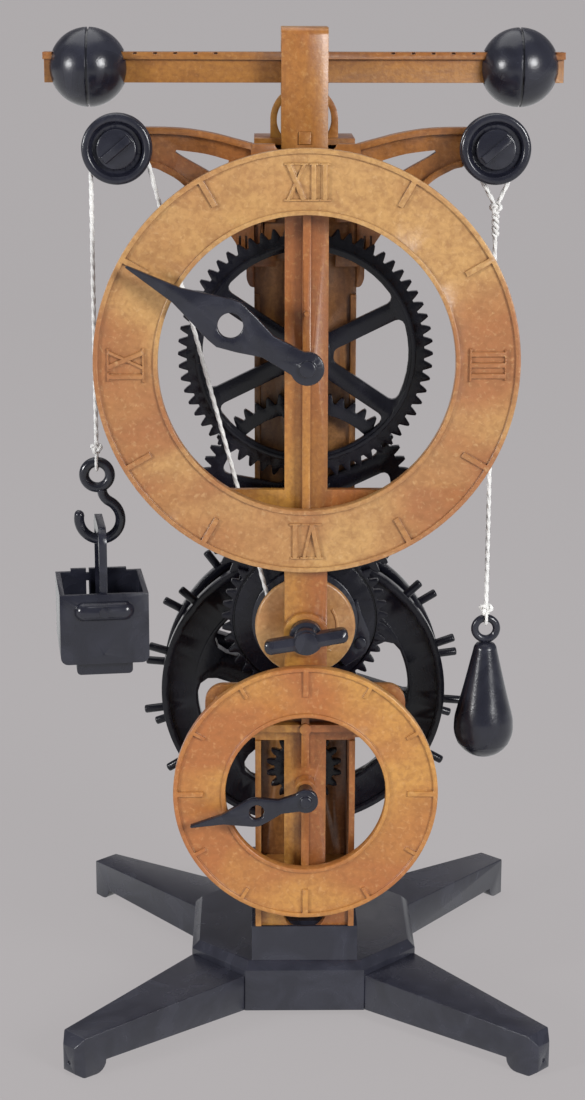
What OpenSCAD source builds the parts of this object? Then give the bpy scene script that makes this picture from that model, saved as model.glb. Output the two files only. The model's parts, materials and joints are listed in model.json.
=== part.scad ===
/* [Gear train] */
// Tooth size of every wheel and pinion, pitch diameter over teeth
gear_module = 1.27; // [1.2:0.01:1.35]
// Teeth of the wheel behind the main dial
main_teeth = 62; // [58:2:66]
// Teeth of the intermediate wheel
inter_teeth = 53; // [49:2:57]
// Teeth of the great wheel that carries the cord drum
great_teeth = 41; // [39:2:45]
// Leaves of the pinion that drives the main wheel
pinion_teeth = 13; // [12:1:14]
// Leaves of the pinion on the great arbor
great_leaves = 10; // [9:1:12]
// Leaves of the pinion on the escape arbor
escape_teeth = 10; // [10:1:12]
// Teeth of the small gear that drives the lower hand
drive_teeth = 14; // [13:1:15]
// Teeth of the lower hand's wheel
small_teeth = 18; // [17:1:20]
// Pressure angle of the teeth
tooth_angle = 25; // [24:0.5:27]
// Play between meshed teeth, along the pitch circle
tooth_play = 0.3; // [0.25:0.05:0.4]
// Thickness of the toothed wheels
wheel_t = 2.4; // [2:0.1:2.8]
// Running gap between wheels in neighbouring planes
wheel_gap = 0.4; // [0.3:0.1:0.6]
// Radius of the four horizontal arbors in the frame
arbor_r = 1.5; // [1.3:0.1:1.7]
// Radial running clearance of arbors, staff and axles in their holes
run_fit = 0.06; // [0.04:0.01:0.08]
// Height of the lower hand's axis above the ground
small_axis_z = 82.9; // [80:0.1:86]

/* [Frame] */
// Half width of the frame plates
frame_half = 16.3; // [15.5:0.1:17.3]
// Thickness of the frame plates
frame_t = 3; // [2.6:0.1:3.4]
// Front face of the main frame plate, measured from the base centre
main_y = -13.2; // [-13.6:0.1:-12.8]
// Front face of the rear frame plate
rear_y = 30; // [29:0.5:32]
// Gap between the main frame plate and the nearest wheels
main_gap = 2.7; // [2.4:0.1:3]
// Width of the raised rails along the frame edges
rail_w = 1.9; // [1.5:0.1:2.4]
// Depth of the rails in front of the main frame plate
rail_h = 1.8; // [1.2:0.1:2.2]
// Half width of the front column
column_half = 6.8; // [6:0.1:7.6]
// Half width of the rib on the front column
rib_half = 1.25; // [1:0.05:1.6]
// Height of the rib in front of the column
rib_h = 3.5; // [3:0.1:4]
// Half width of the bar across the front frame with rounded shoulders
shoulder_half = 32.5; // [30:0.5:35]
// Radius of the rounded shoulders
shoulder_r = 6; // [4:0.5:8]
// Half length of the bar that spans the main dial's opening
chord_half = 36; // [34:0.5:40]
// Height of the bar that spans the main dial's opening
chord_w = 8; // [7:0.5:10]
// Rise of the top plate's underside above the main axis
head_rise = 63.6; // [62:0.2:66]
// Thickness of the top plate
top_t = 2; // [1.6:0.1:2.4]
// Thickness of the side walls of the main frame
wall_t = 2.4; // [2:0.1:3]

/* [Base] */
// Half width across the flats of the hub
hub_half = 38; // [36:0.5:40]
// Size of the cut hub corners that carry the legs
hub_cut = 18.2; // [17:0.2:20]
// Height of the legs' and hub's underside above the ground
base_lift = 4; // [3.5:0.1:5]
// Height of the hub's top face above the ground
hub_top = 21; // [20:0.5:23]
// Bevel round the hub's top face
hub_bevel = 2.5; // [2:0.1:3]
// Half width of the collar that holds the frame feet
collar_half = 17.6; // [17.2:0.1:18.6]
// Half depth of the collar
collar_depth = 35.3; // [34.8:0.1:37]
// Height of the collar above the hub
collar_h = 12.2; // [11:0.2:14]
// Reach of the leg tips from the centre, along the leg
leg_reach = 106.9; // [100:0.1:115]
// Half width of a leg at the hub
leg_root_half = 12.5; // [11.5:0.1:12.8]
// Half width of a leg at its tip
leg_tip_half = 5; // [4.5:0.1:6]
// Height of a leg's top at the hub
leg_root_z = 16.5; // [15.5:0.1:17.5]
// Height of a leg's top near its tip
leg_tip_z = 13.6; // [12.5:0.1:14.5]
// Length of the foot pad under a leg tip
pad_len = 10; // [8:0.5:12]
// Length of the tongue that joins a leg to the hub
tongue_len = 8; // [6:0.5:10]

/* [Dials] */
// Outer radius of the main dial
main_dial_r = 66; // [65:0.5:68]
// Radius of the main dial's opening
main_hole_r = 46.05; // [45:0.05:47]
// Outer radius of the small dial
small_dial_r = 42.9; // [41:0.1:44]
// Radius of the small dial's opening
small_hole_r = 26; // [25:0.5:28]
// Thickness of the dial rings
dial_t = 3; // [2.6:0.1:3.4]
// Distance from the front frame plate to the dials' backs
dial_gap = 6; // [5.5:0.1:6.5]
// Height of rims, hour marks and numerals on the dials
relief_h = 0.8; // [0.5:0.1:1]
// Width of the outer rims
rim_w = 1.5; // [1.2:0.1:2]
// Width of the inner lips
lip_w = 1.4; // [1:0.1:2]
// Length of the hour marks on the main dial
mark_len = 8.4; // [7:0.2:10]
// Height of the numerals on the main dial
numeral_h = 10.8; // [10:0.2:13]
// Radius of the pegs that hold the dials
peg_r = 1.4; // [1.2:0.1:1.6]

/* [Hands and key] */
// Length of the main hand from its axis
main_hand_len = 63.3; // [60:0.1:65]
// Angle of the main hand, anticlockwise from three o'clock
main_hand_angle = 150.4; // [0:0.1:360]
// Length of the small hand from its axis
small_hand_len = 38.2; // [36:0.1:40]
// Angle of the small hand, anticlockwise from three o'clock
small_hand_angle = 193; // [0:0.1:360]
// Thickness of the hands
hand_t = 2.5; // [2:0.1:3]
// Gap between a dial's face and the hand in front of it
hand_gap = 5; // [4:0.5:6]
// Half span of the key's wings
key_half = 13.4; // [12:0.1:15]
// Thickness of the key's wings
key_t = 4.2; // [3.6:0.1:4.8]
// Turn of the key's wings from level
key_angle = 9.6; // [0:0.1:20]

/* [Drum and click] */
// Radius of the front disc of the drum
disc_r = 16.25; // [15.5:0.05:17]
// Thickness of the front disc
disc_t = 1.8; // [1.5:0.1:2.2]
// Radius of the drum's rear flange
flange_r = 17.3; // [17:0.1:18]
// Thickness of the rear flange
flange_t = 1.2; // [1:0.1:1.5]
// Radius of the core that the cord winds on
core_r = 8.1; // [7.5:0.1:8.6]
// Width of the core between its discs
core_w = 4.3; // [4:0.1:5]
// Teeth of the ratchet
ratchet_teeth = 24; // [24:1:24]
// Tip radius of the ratchet
ratchet_r = 16.6; // [16:0.1:16.8]
// Depth of the ratchet teeth
ratchet_depth = 1.8; // [1.4:0.1:2.2]
// Thickness of the ratchet and the click
ratchet_t = 1.7; // [1.4:0.1:2]
// Radius of the raised disc on the great wheel
web_r = 23; // [22.5:0.1:23.6]
// Distance of the click's pivot from the great axis
click_reach = 19.75; // [19.5:0.05:20.2]
// Direction of the click's pivot, anticlockwise from three o'clock
click_angle = -22.7; // [-25:0.1:-20]
// Radius of the click's rivet
rivet_r = 1.1; // [0.9:0.1:1.3]

/* [Escape wheel] */
// Outer radius of the two rims
escape_rim_r = 48.3; // [47.5:0.1:49]
// Width of the rims along the arbor
escape_rim_w = 5; // [4.4:0.1:5.6]
// Radial height of the front rim
escape_rim_h = 12.4; // [11:0.1:13]
// Radial height of the rear rim
escape_rear_h = 6; // [5:0.5:7]
// Distance from the axis to the pins' tips
pin_tip_r = 54.7; // [54:0.1:55]
// Radius of the pins
pin_r = 1.4; // [1.2:0.05:1.45]
// Depth of the pins in the rims
pin_seat = 4; // [3:0.5:5]
// Pins in each rim
pin_count = 15; // [15:1:15]
// Middle of the front rim, measured from the base centre
front_row_y = 4.9; // [4.6:0.1:5.2]
// Distance between the two rims' middles
row_gap = 20.2; // [19.8:0.1:20.6]
// Direction of the first pin of the front rim
pin_phase = 91.58; // [91.58:0.01:91.58]
// Width of the wheel's spokes
escape_spoke_w = 9.4; // [8:0.1:11]

/* [Foliot and staff] */
// Radius of the vertical staff
staff_r = 1.6; // [1.4:0.1:1.8]
// Half length of the foliot bar
bar_half = 84.3; // [82:0.1:86]
// Height of the foliot bar
bar_h = 9.7; // [9:0.1:10.5]
// Half thickness of the bar's web
web_half = 2.3; // [2.2:0.1:2.8]
// Half width of the flange on top of the bar
bar_flange_half = 3.9; // [3.2:0.1:4]
// Thickness of the flange on top of the bar
bar_flange_t = 2.3; // [2:0.1:2.6]
// Gap between the arch and the foliot bar
bar_gap = 0.8; // [0.6:0.1:1.2]
// Pitch of the notches on the bar
notch_pitch = 6.5; // [6:0.1:7]
// Distance of the first notch from the staff
notch_start = 28.6; // [27:0.1:29]
// Notches on each side
notch_count = 9; // [5:1:9]
// Radius of the balls on the bar
ball_r = 12.7; // [12:0.1:13]
// Distance of the balls from the staff
ball_reach = 69.8; // [66:0.1:71]
// Width of the groove between the halves of a ball
ball_groove = 0.8; // [0.6:0.1:1.4]
// Depth of the groove between the halves of a ball
ball_groove_h = 0.7; // [0.5:0.1:1.2]
// Sliding clearance between a ball and the bar
slide_gap = 0.3; // [0.2:0.05:0.4]
// Thickness of the pallets
pallet_t = 0.9; // [0.8:0.1:1.1]
// Turn of each pallet away from its row of pins, foliot in the middle
pallet_angle = 53.5; // [52.5:0.5:56]
// Length of the pallets from the staff's axis
pallet_len = 13.4; // [13:0.1:14]
// Outer radius of the arch that guides the staff
arch_r = 11; // [10.5:0.1:11.5]
// Radius of the arch's opening
arch_hole_r = 8.9; // [8:0.1:9.4]
// Rise of the arch's centre above the top plate
arch_rise = 5.6; // [5:0.1:6]
// Thickness of the arch
arch_t = 6; // [5:0.5:7]

/* [Bridge] */
// Half width of the bridge over the foliot
bridge_half = 7.5; // [7.4:0.1:8.2]
// Distance of the bridge legs' outer faces from the staff
bridge_depth = 12.5; // [12.3:0.1:13.5]
// Thickness of the bridge legs
bridge_leg_t = 4; // [3.6:0.1:4.2]
// Thickness of the bridge's beam
bridge_beam_t = 4.6; // [4:0.1:5.2]
// Gap between the foliot bar and the beam
bridge_gap = 3.4; // [3:0.1:4.5]
// Length of the bridge legs below the top plate
bridge_tail = 10; // [9:0.5:12]
// Half width of the square pegs in the bridge legs
bridge_peg = 2; // [1.6:0.1:2.4]

/* [Arms and pulleys] */
// Plane of the pulleys and weights, measured from the base centre
hang_y = -22.6; // [-23:0.1:-22]
// Distance of the pulleys from the middle
pulley_x = 58.7; // [58:0.1:60]
// Height of the pulley axes above the top plate's underside
pulley_rise = 0.8; // [0:0.1:1.6]
// Radius of the pulleys
pulley_r = 10.9; // [10.5:0.1:11.5]
// Width of the pulleys
pulley_w = 7; // [6.4:0.1:7.6]
// Radius of the cord's centreline on the pulleys
pulley_cord_r = 8.2; // [8:0.1:8.4]
// Radius of the pulley axles
axle_r = 1.8; // [1.6:0.1:2]
// Radius of the axle caps
cap_r = 6.2; // [5.8:0.1:6.6]
// Thickness of the arms
arm_t = 4.6; // [4:0.1:5.2]
// Depth of the ledge along the top of the arms
arm_ledge = 2.4; // [1.4:0.1:2.6]

/* [Weights] */
// Thickness of the cord
cord_d = 1.5; // [1.3:0.1:1.7]
// Drop of the hook's ring below the pulley axis
hook_drop = 103.3; // [98:0.1:106]
// Outer radius of the hook's ring
hook_ring_r = 5.8; // [5.4:0.1:6.2]
// Thickness of the hook
hook_wire = 3.3; // [3:0.1:3.6]
// Outer radius of the open hook
hook_r = 8.35; // [8:0.05:8.8]
// Width of the bucket
bucket_w = 28.4; // [28:0.1:31]
// Depth of the bucket
bucket_d = 31; // [30:0.5:32]
// Height of the bucket
bucket_h = 23; // [22:0.5:26]
// Thickness of the bucket's walls
bucket_wall = 1.6; // [1.4:0.1:2]
// Turn of the hanging bucket about the cord
bucket_turn = 7.6; // [0:0.1:12]
// Height of the bail above its pins
bail_h = 26.1; // [24:0.1:27]
// Width of the bail's strap
bail_w = 2.5; // [2.4:0.1:3.2]
// Drop of the counterweight's ring below the pulley axis
counter_drop = 155; // [148:0.1:158]
// Largest radius of the counterweight
pear_r = 9.85; // [9.4:0.05:10.4]
// Height of the counterweight's body
pear_h = 39.5; // [37:0.5:41]

/* [Hidden] */
$fn = 72;
brown = [0.72, 0.49, 0.27];
slate = [0.20, 0.21, 0.26];
white = [0.95, 0.95, 0.95];

// Clearance between pieces that are pushed together and don't move
seat = 0.05;

// Axes of the train, one above the other
mesh = gear_module / 2;
escape_z = small_axis_z + (drive_teeth + small_teeth) * mesh;
great_z = escape_z + (escape_teeth + great_teeth) * mesh;
inter_z = great_z + (great_leaves + inter_teeth) * mesh;
main_z = inter_z + (pinion_teeth + main_teeth) * mesh;

// Planes of the train, from the main frame plate forwards
back_rear = main_y - main_gap;
back_front = back_rear - wheel_t;
great_rear = back_front - wheel_gap;
great_front = great_rear - wheel_t;
upper_rear = great_rear;
upper_front = great_front;
ratchet_rear = great_front - wheel_gap + 0.1;
ratchet_front = ratchet_rear - ratchet_t;
flange_front = ratchet_front - flange_t;
core_front = flange_front - core_w;
disc_front = core_front - disc_t;
front_rear = disc_front - 0.6;
front_y = front_rear - frame_t;
cord_y = (flange_front + core_front) / 2;
main_rear = main_y + frame_t;
dial_back = front_y - dial_gap;
dial_face = dial_back - dial_t;
hand_back = dial_face - hand_gap;
hand_front = hand_back - hand_t;

// Heights above the train
top_z = main_z + head_rise;
top_face = top_z + top_t;
foot_z = hub_top + 3;
collar_top = hub_top + collar_h;
arch_z = top_face + arch_rise;
bar_z = arch_z + arch_r + bar_gap;
bar_top = bar_z + bar_h;
flange_z = bar_top - bar_flange_t;
beam_z = bar_top + bridge_gap;
bridge_top = beam_z + bridge_beam_t;
staff_y = front_row_y + row_gap / 2;
rear_row_y = front_row_y + row_gap;
pulley_z = top_z + pulley_rise;

// Weights below the pulleys
drop_x = -(pulley_x + pulley_cord_r);
drum_cord_r = core_r + cord_d / 2;
ring_z = pulley_z - hook_drop;
ring_mid = hook_ring_r - hook_wire / 2;
hook_mid = hook_r - hook_wire / 2;
hook_z = ring_z - 14.6;
hook_x = drop_x + 0.6;
bail_top = hook_z - hook_mid + hook_wire / 2 + 4.6;
bail_z = bail_top - bail_h;
bucket_rim = bail_z + 5.4;
counter_z = pulley_z - counter_drop;
counter_x = pulley_x + 0.6;
loop_r = 0.55;

// Shape extruded from y0 back to y1, drawn as seen from the front
module slab(y0, y1) translate([0, y1, 0]) rotate([90, 0, 0]) linear_extrude(y1 - y0) children();

// Shape extruded from x0 to x1, drawn with y to the right and z up
module side(x0, x1) translate([x0, 0, 0]) rotate([90, 0, 90]) linear_extrude(x1 - x0) children();

// Round rod along y at x and z
module rod(r, y0, y1, z, x = 0) translate([x, y1, z]) rotate([90, 0, 0]) cylinder(h = y1 - y0, r = r);

module box(x0, x1, y0, y1, z0, z1) translate([x0, y0, z0]) cube([x1 - x0, y1 - y0, z1 - z0]);

module rect(x0, x1, z0, z1) translate([x0, z0]) square([x1 - x0, z1 - z0]);

module both() {
    children();
    mirror([1, 0, 0]) children();
}

function polar(r, a) = [r * cos(a), r * sin(a)];
function arc(c, r, a0, a1, n) = [for (i = [0:n]) c + polar(r, a0 + (a1 - a0) * i / n)];

// Smooth curve through points, in four steps from each to the next
function spline(p) = let (m = len(p) - 1) concat([for (i = [0:m - 1], k = [0:3]) let (t = k / 4,
    a = p[max(i - 1, 0)], b = p[i], c = p[i + 1], d = p[min(i + 2, m)])
    (2 * b + t * (c - a) + t * t * (2 * a - 5 * b + 4 * c - d)
        + t * t * t * (3 * b - a - 3 * c + d)) / 2], [p[m]]);

// Tooth flanks follow an involute above the base circle and run straight in below it
function involute(a) = tan(a) * 180 / PI - a;
function flank(n, r) = let (rp = gear_module * n / 2, rb = rp * cos(tooth_angle))
    90 / n - tooth_play / 4 / rp * 180 / PI + involute(tooth_angle)
    - (r > rb ? involute(acos(rb / r)) : 0);
function gear_points(n, start) = let (rp = gear_module * n / 2, rb = rp * cos(tooth_angle),
        root = rp - 1.2 * gear_module, tip = rp + 0.95 * gear_module,
        radii = [root, max(root + 0.1, rb), rp, rp + 0.5 * gear_module, tip])
    [for (i = [0:n - 1]) each concat(
        [for (r = radii) polar(r, start + i * 360 / n - flank(n, r))],
        [for (k = [4:-1:0]) polar(radii[k], start + i * 360 / n + flank(n, radii[k]))])];
function tip_r(n) = gear_module * (n / 2 + 0.95);

// Window between two spokes, with its corners rounded to c
function window_points(ro, ri, w, step, c) = let (
        fo = asin((w / 2 + c) / (ro - c)), fi = asin((w / 2 + c) / (ri + c)))
    concat(arc(polar(ro - c, fo), c, -90, fo, 3), arc([0, 0], ro, fo + 1, step - fo - 1, 6),
        arc(polar(ro - c, step - fo), c, step - fo, step + 90, 3),
        arc(polar(ri + c, step - fi), c, step + 90, step - fi + 180, 3),
        arc(polar(ri + c, fi), c, fi + 180, 270, 3));

module windows(count, start, ro, ri, w, c)
    for (i = [0:count - 1]) rotate(start + i * 360 / count)
        polygon(window_points(ro, ri, w, 360 / count, c));

// Toothed wheel on an axis at height z, with a round bore
module gear(n, start, y0, y1, z) difference() {
    translate([0, 0, z]) slab(y0, y1) polygon(gear_points(n, start));
    rod(arbor_r, y0 - 1, y1 + 1, z);
}

tooth_up = 90;
function gap_down(n) = -90 + 180 / n;

// Base
leg_names = [[1, 225], [2, 315], [3, 135], [4, 45]];
chamfer_r = (2 * hub_half - hub_cut) / sqrt(2);
slots = [[front_y, front_rear], [main_y, main_rear], [rear_y, rear_y + frame_t]];

module base_hub() color(slate) difference() {
    union() {
        intersection() {
            hub_block(hub_half);
            rotate(45) hub_block(chamfer_r);
        }
        box(-collar_half, collar_half, -collar_depth, collar_depth, hub_top - 0.1, collar_top);
    }
    for (s = slots) box(-frame_half - seat, frame_half + seat, s[0] - seat, s[1] + seat,
        foot_z, collar_top + 1);
    for (l = leg_names) rotate(l[1]) box(chamfer_r - tongue_len - seat, chamfer_r + 1,
        -6 - seat, 6 + seat, base_lift + 3 - seat, base_lift + 9 + seat);
}

// Square block with bevels along its top edges
module hub_block(half) intersection() {
    slab(-half - 1, half + 1) hub_side(half);
    side(-half - 1, half + 1) hub_side(half);
}
module hub_side(half) polygon([[-half, base_lift], [half, base_lift], [half, hub_top - hub_bevel],
    [half - hub_bevel, hub_top], [-half + hub_bevel, hub_top], [-half, hub_top - hub_bevel]]);

// A leg drawn along +X, its tip bevelled and standing on a rounded pad
module leg(angle) color(slate) rotate(angle) difference() {
    union() {
        intersection() {
            rotate([90, 0, 0]) translate([0, 0, -hub_half]) linear_extrude(2 * hub_half) leg_side();
            linear_extrude(hub_half) leg_plan();
        }
        box(chamfer_r - tongue_len, chamfer_r + 0.1, -6, 6, base_lift + 3, base_lift + 9);
    }
    translate([leg_reach - 0.5, 0, base_lift + 0.6]) rotate([0, 90, 0]) cylinder(h = 1, r = 0.6);
}

module leg_side() polygon(concat([[chamfer_r, base_lift]],
    arc([leg_reach - pad_len + 3.4, base_lift], base_lift, 180, 270, 5),
    [[leg_reach - 2, 0], [leg_reach, 1.4], [leg_reach, leg_tip_z - 3.4],
     [leg_reach - 2.6, leg_tip_z], [chamfer_r, leg_root_z]]));

module leg_plan() polygon([[chamfer_r, -leg_root_half], [leg_reach - 2.4, -leg_tip_half],
    [leg_reach, -leg_tip_half + 2.2], [leg_reach, leg_tip_half - 2.2],
    [leg_reach - 2.4, leg_tip_half], [chamfer_r, leg_root_half]]);

module leg_front_left() leg(225);
module leg_front_right() leg(315);
module leg_rear_left() leg(135);
module leg_rear_right() leg(45);

// Front frame
window_low = small_axis_z - 32.9;
window_high = small_axis_z + 15.3;
shoulder_low = escape_z - 4.2;
shoulder_top = escape_z + 13.8;
column_top = main_z + main_hole_r + 12;
chord_top = main_z - 41.4;
boss_r = 3.3;
key_boss_r = 7.1;
shank_r = 3.4;
pad_half = 3.5;
dial_pads = [[0, main_z + main_dial_r - 10], [0, main_z - main_dial_r + 10],
    [0, small_axis_z + small_dial_r - 9], [0, small_axis_z - small_dial_r + 9]];
wing_pads = [[chord_half - 5, chord_top - chord_w / 2],
    [shoulder_half - 6, shoulder_top - 6]];

module front_plate() difference() {
    union() {
        rect(-column_half, column_half, foot_z, column_top);
        rect(-frame_half, frame_half, foot_z, shoulder_low + 1);
        rect(-chord_half, chord_half, chord_top - chord_w, chord_top);
        rect(-shoulder_half, shoulder_half, shoulder_low, shoulder_top - shoulder_r);
        rect(-shoulder_half + shoulder_r, shoulder_half - shoulder_r, shoulder_low, shoulder_top);
        both() translate([shoulder_half - shoulder_r, shoulder_top - shoulder_r]) circle(shoulder_r);
    }
    both() rect(column_half, frame_half - rail_w, window_low, window_high);
    translate([0, collar_top + 4.6]) intersection() {
        circle(7);
        rect(-8, 8, -8, 0);
    }
}

module front_frame() color(brown) difference() {
    union() {
        slab(front_y, front_rear) front_plate();
        slab(front_y - rib_h, front_y) difference() {
            rect(-rib_half, rib_half, window_low - 4, column_top);
            for (z = [small_axis_z, great_z]) translate([0, z]) circle(key_boss_r);
        }
        slab(front_y - rib_h, front_y) rect(-column_half, column_half,
            dial_pads[2][1] + pad_half, dial_pads[1][1] - pad_half);
        slab(front_y - rib_h, front_y) difference() {
            rect(-shoulder_half + 2, shoulder_half - 2, escape_z - rib_half, escape_z + rib_half);
            rect(-rib_half, rib_half, escape_z - 3, escape_z + 3);
        }
        both() slab(front_y - 1.2, front_y) rect(frame_half - rail_w, frame_half, collar_top,
            window_high);
        box(-frame_half + rail_w + 0.3, frame_half - rail_w - 0.3, front_rear - 1, main_y - 0.2,
            window_low - 2, window_low);
        for (z = [small_axis_z, main_z]) rod(boss_r, dial_back, front_y, z);
        rod(key_boss_r, dial_back, front_y, great_z);
        rod(1.9, front_y - rib_h - 1, front_y - rib_h, escape_z);
        rod(0.8, front_y - rib_h - 1.2, front_y - rib_h, main_z + 15.2);
        for (p = dial_pads) slab(dial_back, front_y)
            rect(-column_half, column_half, p[1] - pad_half, p[1] + pad_half);
        both() for (p = wing_pads) rod(3.2, dial_back, front_y, p[1], p[0]);
    }
    for (z = [small_axis_z, main_z]) rod(arbor_r + run_fit, dial_back - 1, front_rear + 1, z);
    for (z = [escape_z, inter_z]) rod(arbor_r + run_fit, front_y + 0.8, front_rear + 1, z);
    rod(shank_r + run_fit, dial_back - 1, front_rear + 1, great_z);
    for (p = dial_pads) rod(peg_r + seat, dial_back - 1, dial_back + 3.2, p[1]);
    both() for (p = wing_pads) rod(peg_r + seat, dial_back - 1, dial_back + 3.2, p[1], p[0]);
}

// Main frame
wall_back = -1;
wall_top_z = main_z + 20;
bracket_z = escape_z + pin_tip_r + 5.2;

module main_plate() rect(-frame_half, frame_half, foot_z, top_z - 3);

module main_frame() color(brown) difference() {
    union() {
        slab(main_y, main_rear) main_plate();
        both() slab(main_y - rail_h, main_y) rect(frame_half - rail_w, frame_half,
            collar_top, main_z + 18);
        both() box(frame_half - wall_t, frame_half, main_rear, wall_back, collar_top, wall_top_z);
        both() box(frame_half - wall_t, frame_half, main_y, rear_y, wall_top_z, top_z);
        for (z = [small_axis_z, escape_z, great_z, inter_z, main_z])
            rod(arbor_r + 2.2, main_y - main_gap + 0.4, main_y, z);
    }
    for (z = [small_axis_z, great_z, inter_z, main_z, escape_z])
        rod(arbor_r + run_fit, back_front, main_rear + 1, z);
    both() for (z = [main_z + 30, main_z + 44]) rod(peg_r + seat, main_y - 1, main_rear + 1, z, 12);
}

// Rear frame with one bearing
module rear_frame() color(brown) difference() {
    union() {
        slab(rear_y, rear_y + frame_t) difference() {
            rect(-frame_half, frame_half, foot_z, top_z);
            for (z = [[collar_top + 8, escape_z - 12], [escape_z + 12, great_z + 22],
                    [great_z + 28, inter_z + 30], [inter_z + 36, main_z + 30]])
                rect(-frame_half + 5, frame_half - 5, z[0], z[1]);
        }
        rod(arbor_r + 2.8, rear_y - 1, rear_y, escape_z);
    }
    rod(arbor_r + run_fit, rear_y - 2, rear_y + frame_t + 1, escape_z);
}

// Top plate, with slots for the bridge legs and the staff
leg_front = staff_y - bridge_depth;
leg_rear = staff_y + bridge_depth;

module top_plate() color(brown) difference() {
    union() {
        box(-frame_half, frame_half, leg_front + bridge_leg_t, rear_y + frame_t, top_z, top_face);
        for (s = [0, 1]) box(-bridge_half + 2, bridge_half - 2,
            s ? leg_rear - bridge_leg_t - 3.2 : leg_front + bridge_leg_t,
            s ? leg_rear - bridge_leg_t : leg_front + bridge_leg_t + 3.2,
            top_z - bridge_tail, top_face + 2.6);
    }
    box(-bridge_half - seat, bridge_half + seat, leg_rear - bridge_leg_t, leg_rear + seat,
        top_z - 1, top_face + 1);
    translate([0, staff_y, top_z - 1]) cylinder(h = top_t + 2, r = staff_r + 1);
    box(-bridge_peg - seat, bridge_peg + seat, leg_front + bridge_leg_t - 1,
        leg_rear - bridge_leg_t + 1, top_z + 0.4 - seat, top_z + 0.4 + 2 * bridge_peg + seat);
}

module bridge_side() difference() {
    polygon(concat([[leg_front, top_z - bridge_tail]],
        [[leg_front + bridge_leg_t, top_z - bridge_tail], [leg_front + bridge_leg_t, beam_z - 1],
         [leg_front + bridge_leg_t + 1, beam_z], [leg_rear - bridge_leg_t - 1, beam_z],
         [leg_rear - bridge_leg_t, beam_z - 1], [leg_rear - bridge_leg_t, top_z - bridge_tail],
         [leg_rear, top_z - bridge_tail]],
        arc([leg_rear - 2.5, bridge_top - 2.5], 2.5, 0, 90, 6),
        arc([leg_front + 2.5, bridge_top - 2.5], 2.5, 90, 180, 6)));
}

module foliot_bridge() color(brown) difference() {
    side(-bridge_half, bridge_half) bridge_side();
    translate([0, staff_y, beam_z - 1]) cylinder(h = 3.4, r = staff_r + run_fit);
    for (s = [0, 1]) box(-bridge_peg - seat, bridge_peg + seat,
        s ? leg_rear - bridge_leg_t - 1 : leg_front - 1,
        s ? leg_rear + 1 : leg_front + bridge_leg_t + 1,
        top_z + 0.4 - seat, top_z + 0.4 + 2 * bridge_peg + seat);
}

module bridge_pegs() color(brown) for (s = [0, 1]) box(-bridge_peg, bridge_peg,
    s ? leg_rear - bridge_leg_t - 2.8 : leg_front - 0.6,
    s ? leg_rear : leg_front + bridge_leg_t + 2.8, top_z + 0.4, top_z + 0.4 + 2 * bridge_peg);

module staff_arch() color(brown) difference() {
    slab(staff_y - arch_t / 2, staff_y + arch_t / 2) difference() {
        union() {
            translate([0, arch_z]) circle(arch_r);
            rect(-arch_r, arch_r, top_face, arch_z);
        }
        translate([0, arch_z]) circle(arch_hole_r);
        rect(-arch_r - 1, arch_r + 1, arch_z - arch_r - 1, top_face);
    }
    translate([0, staff_y, arch_z]) cylinder(h = arch_r + 1, r = staff_r + run_fit);
}

module staff_bracket() color(brown) difference() {
    union() {
        box(-5, 5, main_rear, staff_y, bracket_z, bracket_z + 3);
        translate([0, staff_y, bracket_z]) cylinder(h = 3, r = 5);
        box(-5, 5, main_rear, main_rear + 2.4, bracket_z + 3, bracket_z + 9);
    }
    translate([0, staff_y, bracket_z - 1]) cylinder(h = 5, r = staff_r + run_fit);
}

// Arms: outline drawn for the right side, heights given from the top plate's underside
arm_front = main_y - 0.8;
arm_back = arm_front + arm_t;
arm_top = spline([[17.1, 1.9], [22.4, 3.3], [29.6, 5.1], [39, 6.5], [50.2, 6.8], [pulley_x, 6.4]]);
arm_low = spline([[pulley_x, -4.6], [49.2, -5.3], [44.5, -6.9], [37.6, -11.6], [23.8, -26.8],
    [20.6, -33.5], [18.9, -37], [18.7, -40.6], [17.7, -42.9], [frame_half, -43.4]]);
arm_window = concat(spline([[24.2, -3.4], [31.5, -1.4], [40.6, -0.2]]),
    spline([[41, -0.9], [38.4, -2.6], [31.2, -6.6], [25.4, -10.4]]));
ledge_w = 1.9;

module raise() translate([0, top_z]) children();

module arm_plate() raise() {
    difference() {
        polygon(concat([[frame_half, -3]], [[frame_half, 1.7]], arm_top, arm_low));
        polygon(arm_window);
    }
    translate([pulley_x, pulley_rise]) circle(6);
}

module arm_ledges() raise() {
    polygon(concat(arm_top, [for (i = [len(arm_top) - 1:-1:0]) arm_top[i] - [0, ledge_w]]));
    let (low = [for (i = [4:14]) arm_low[i]])
        polygon(concat(low, [for (i = [len(low) - 1:-1:0]) let (t = tangent(low, i))
            low[i] + ledge_w * [t[1], -t[0]]]));
}

module arm() color(brown) difference() {
    union() {
        slab(arm_front, arm_back) arm_plate();
        slab(arm_front - arm_ledge, arm_front) arm_ledges();
        slab(main_y - 3, main_y) raise() polygon(concat([[frame_half, -8], [frame_half + 0.9, -3],
            [frame_half + 0.9, 1.8], [bridge_half + 2.2, 1.8]],
            arc([bridge_half, 1.8], 2.2, 0, -70, 4), [[bridge_half + 0.8, -8]]));
        rod(4, hang_y + pulley_w / 2 + 0.3, arm_front, pulley_z, pulley_x);
        for (z = [main_z + 30, main_z + 44]) {
            rod(peg_r, main_y, main_rear, z, 12);
            slab(main_y - 2, main_y) rect(9.5, frame_half, z - 3, z + 3);
            slab(main_y - 2, main_y) rect(frame_half - 0.1, frame_half + 1.5, z - 3, z + 3);
        }
    }
    rod(axle_r + seat, hang_y, arm_back + 1, pulley_z, pulley_x);
    for (x = [18.4, 20.4]) slab(arm_front - 0.1, arm_front + 0.8)
        rect(x, x + 0.7, top_z - 37, top_z - 27);
}

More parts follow.
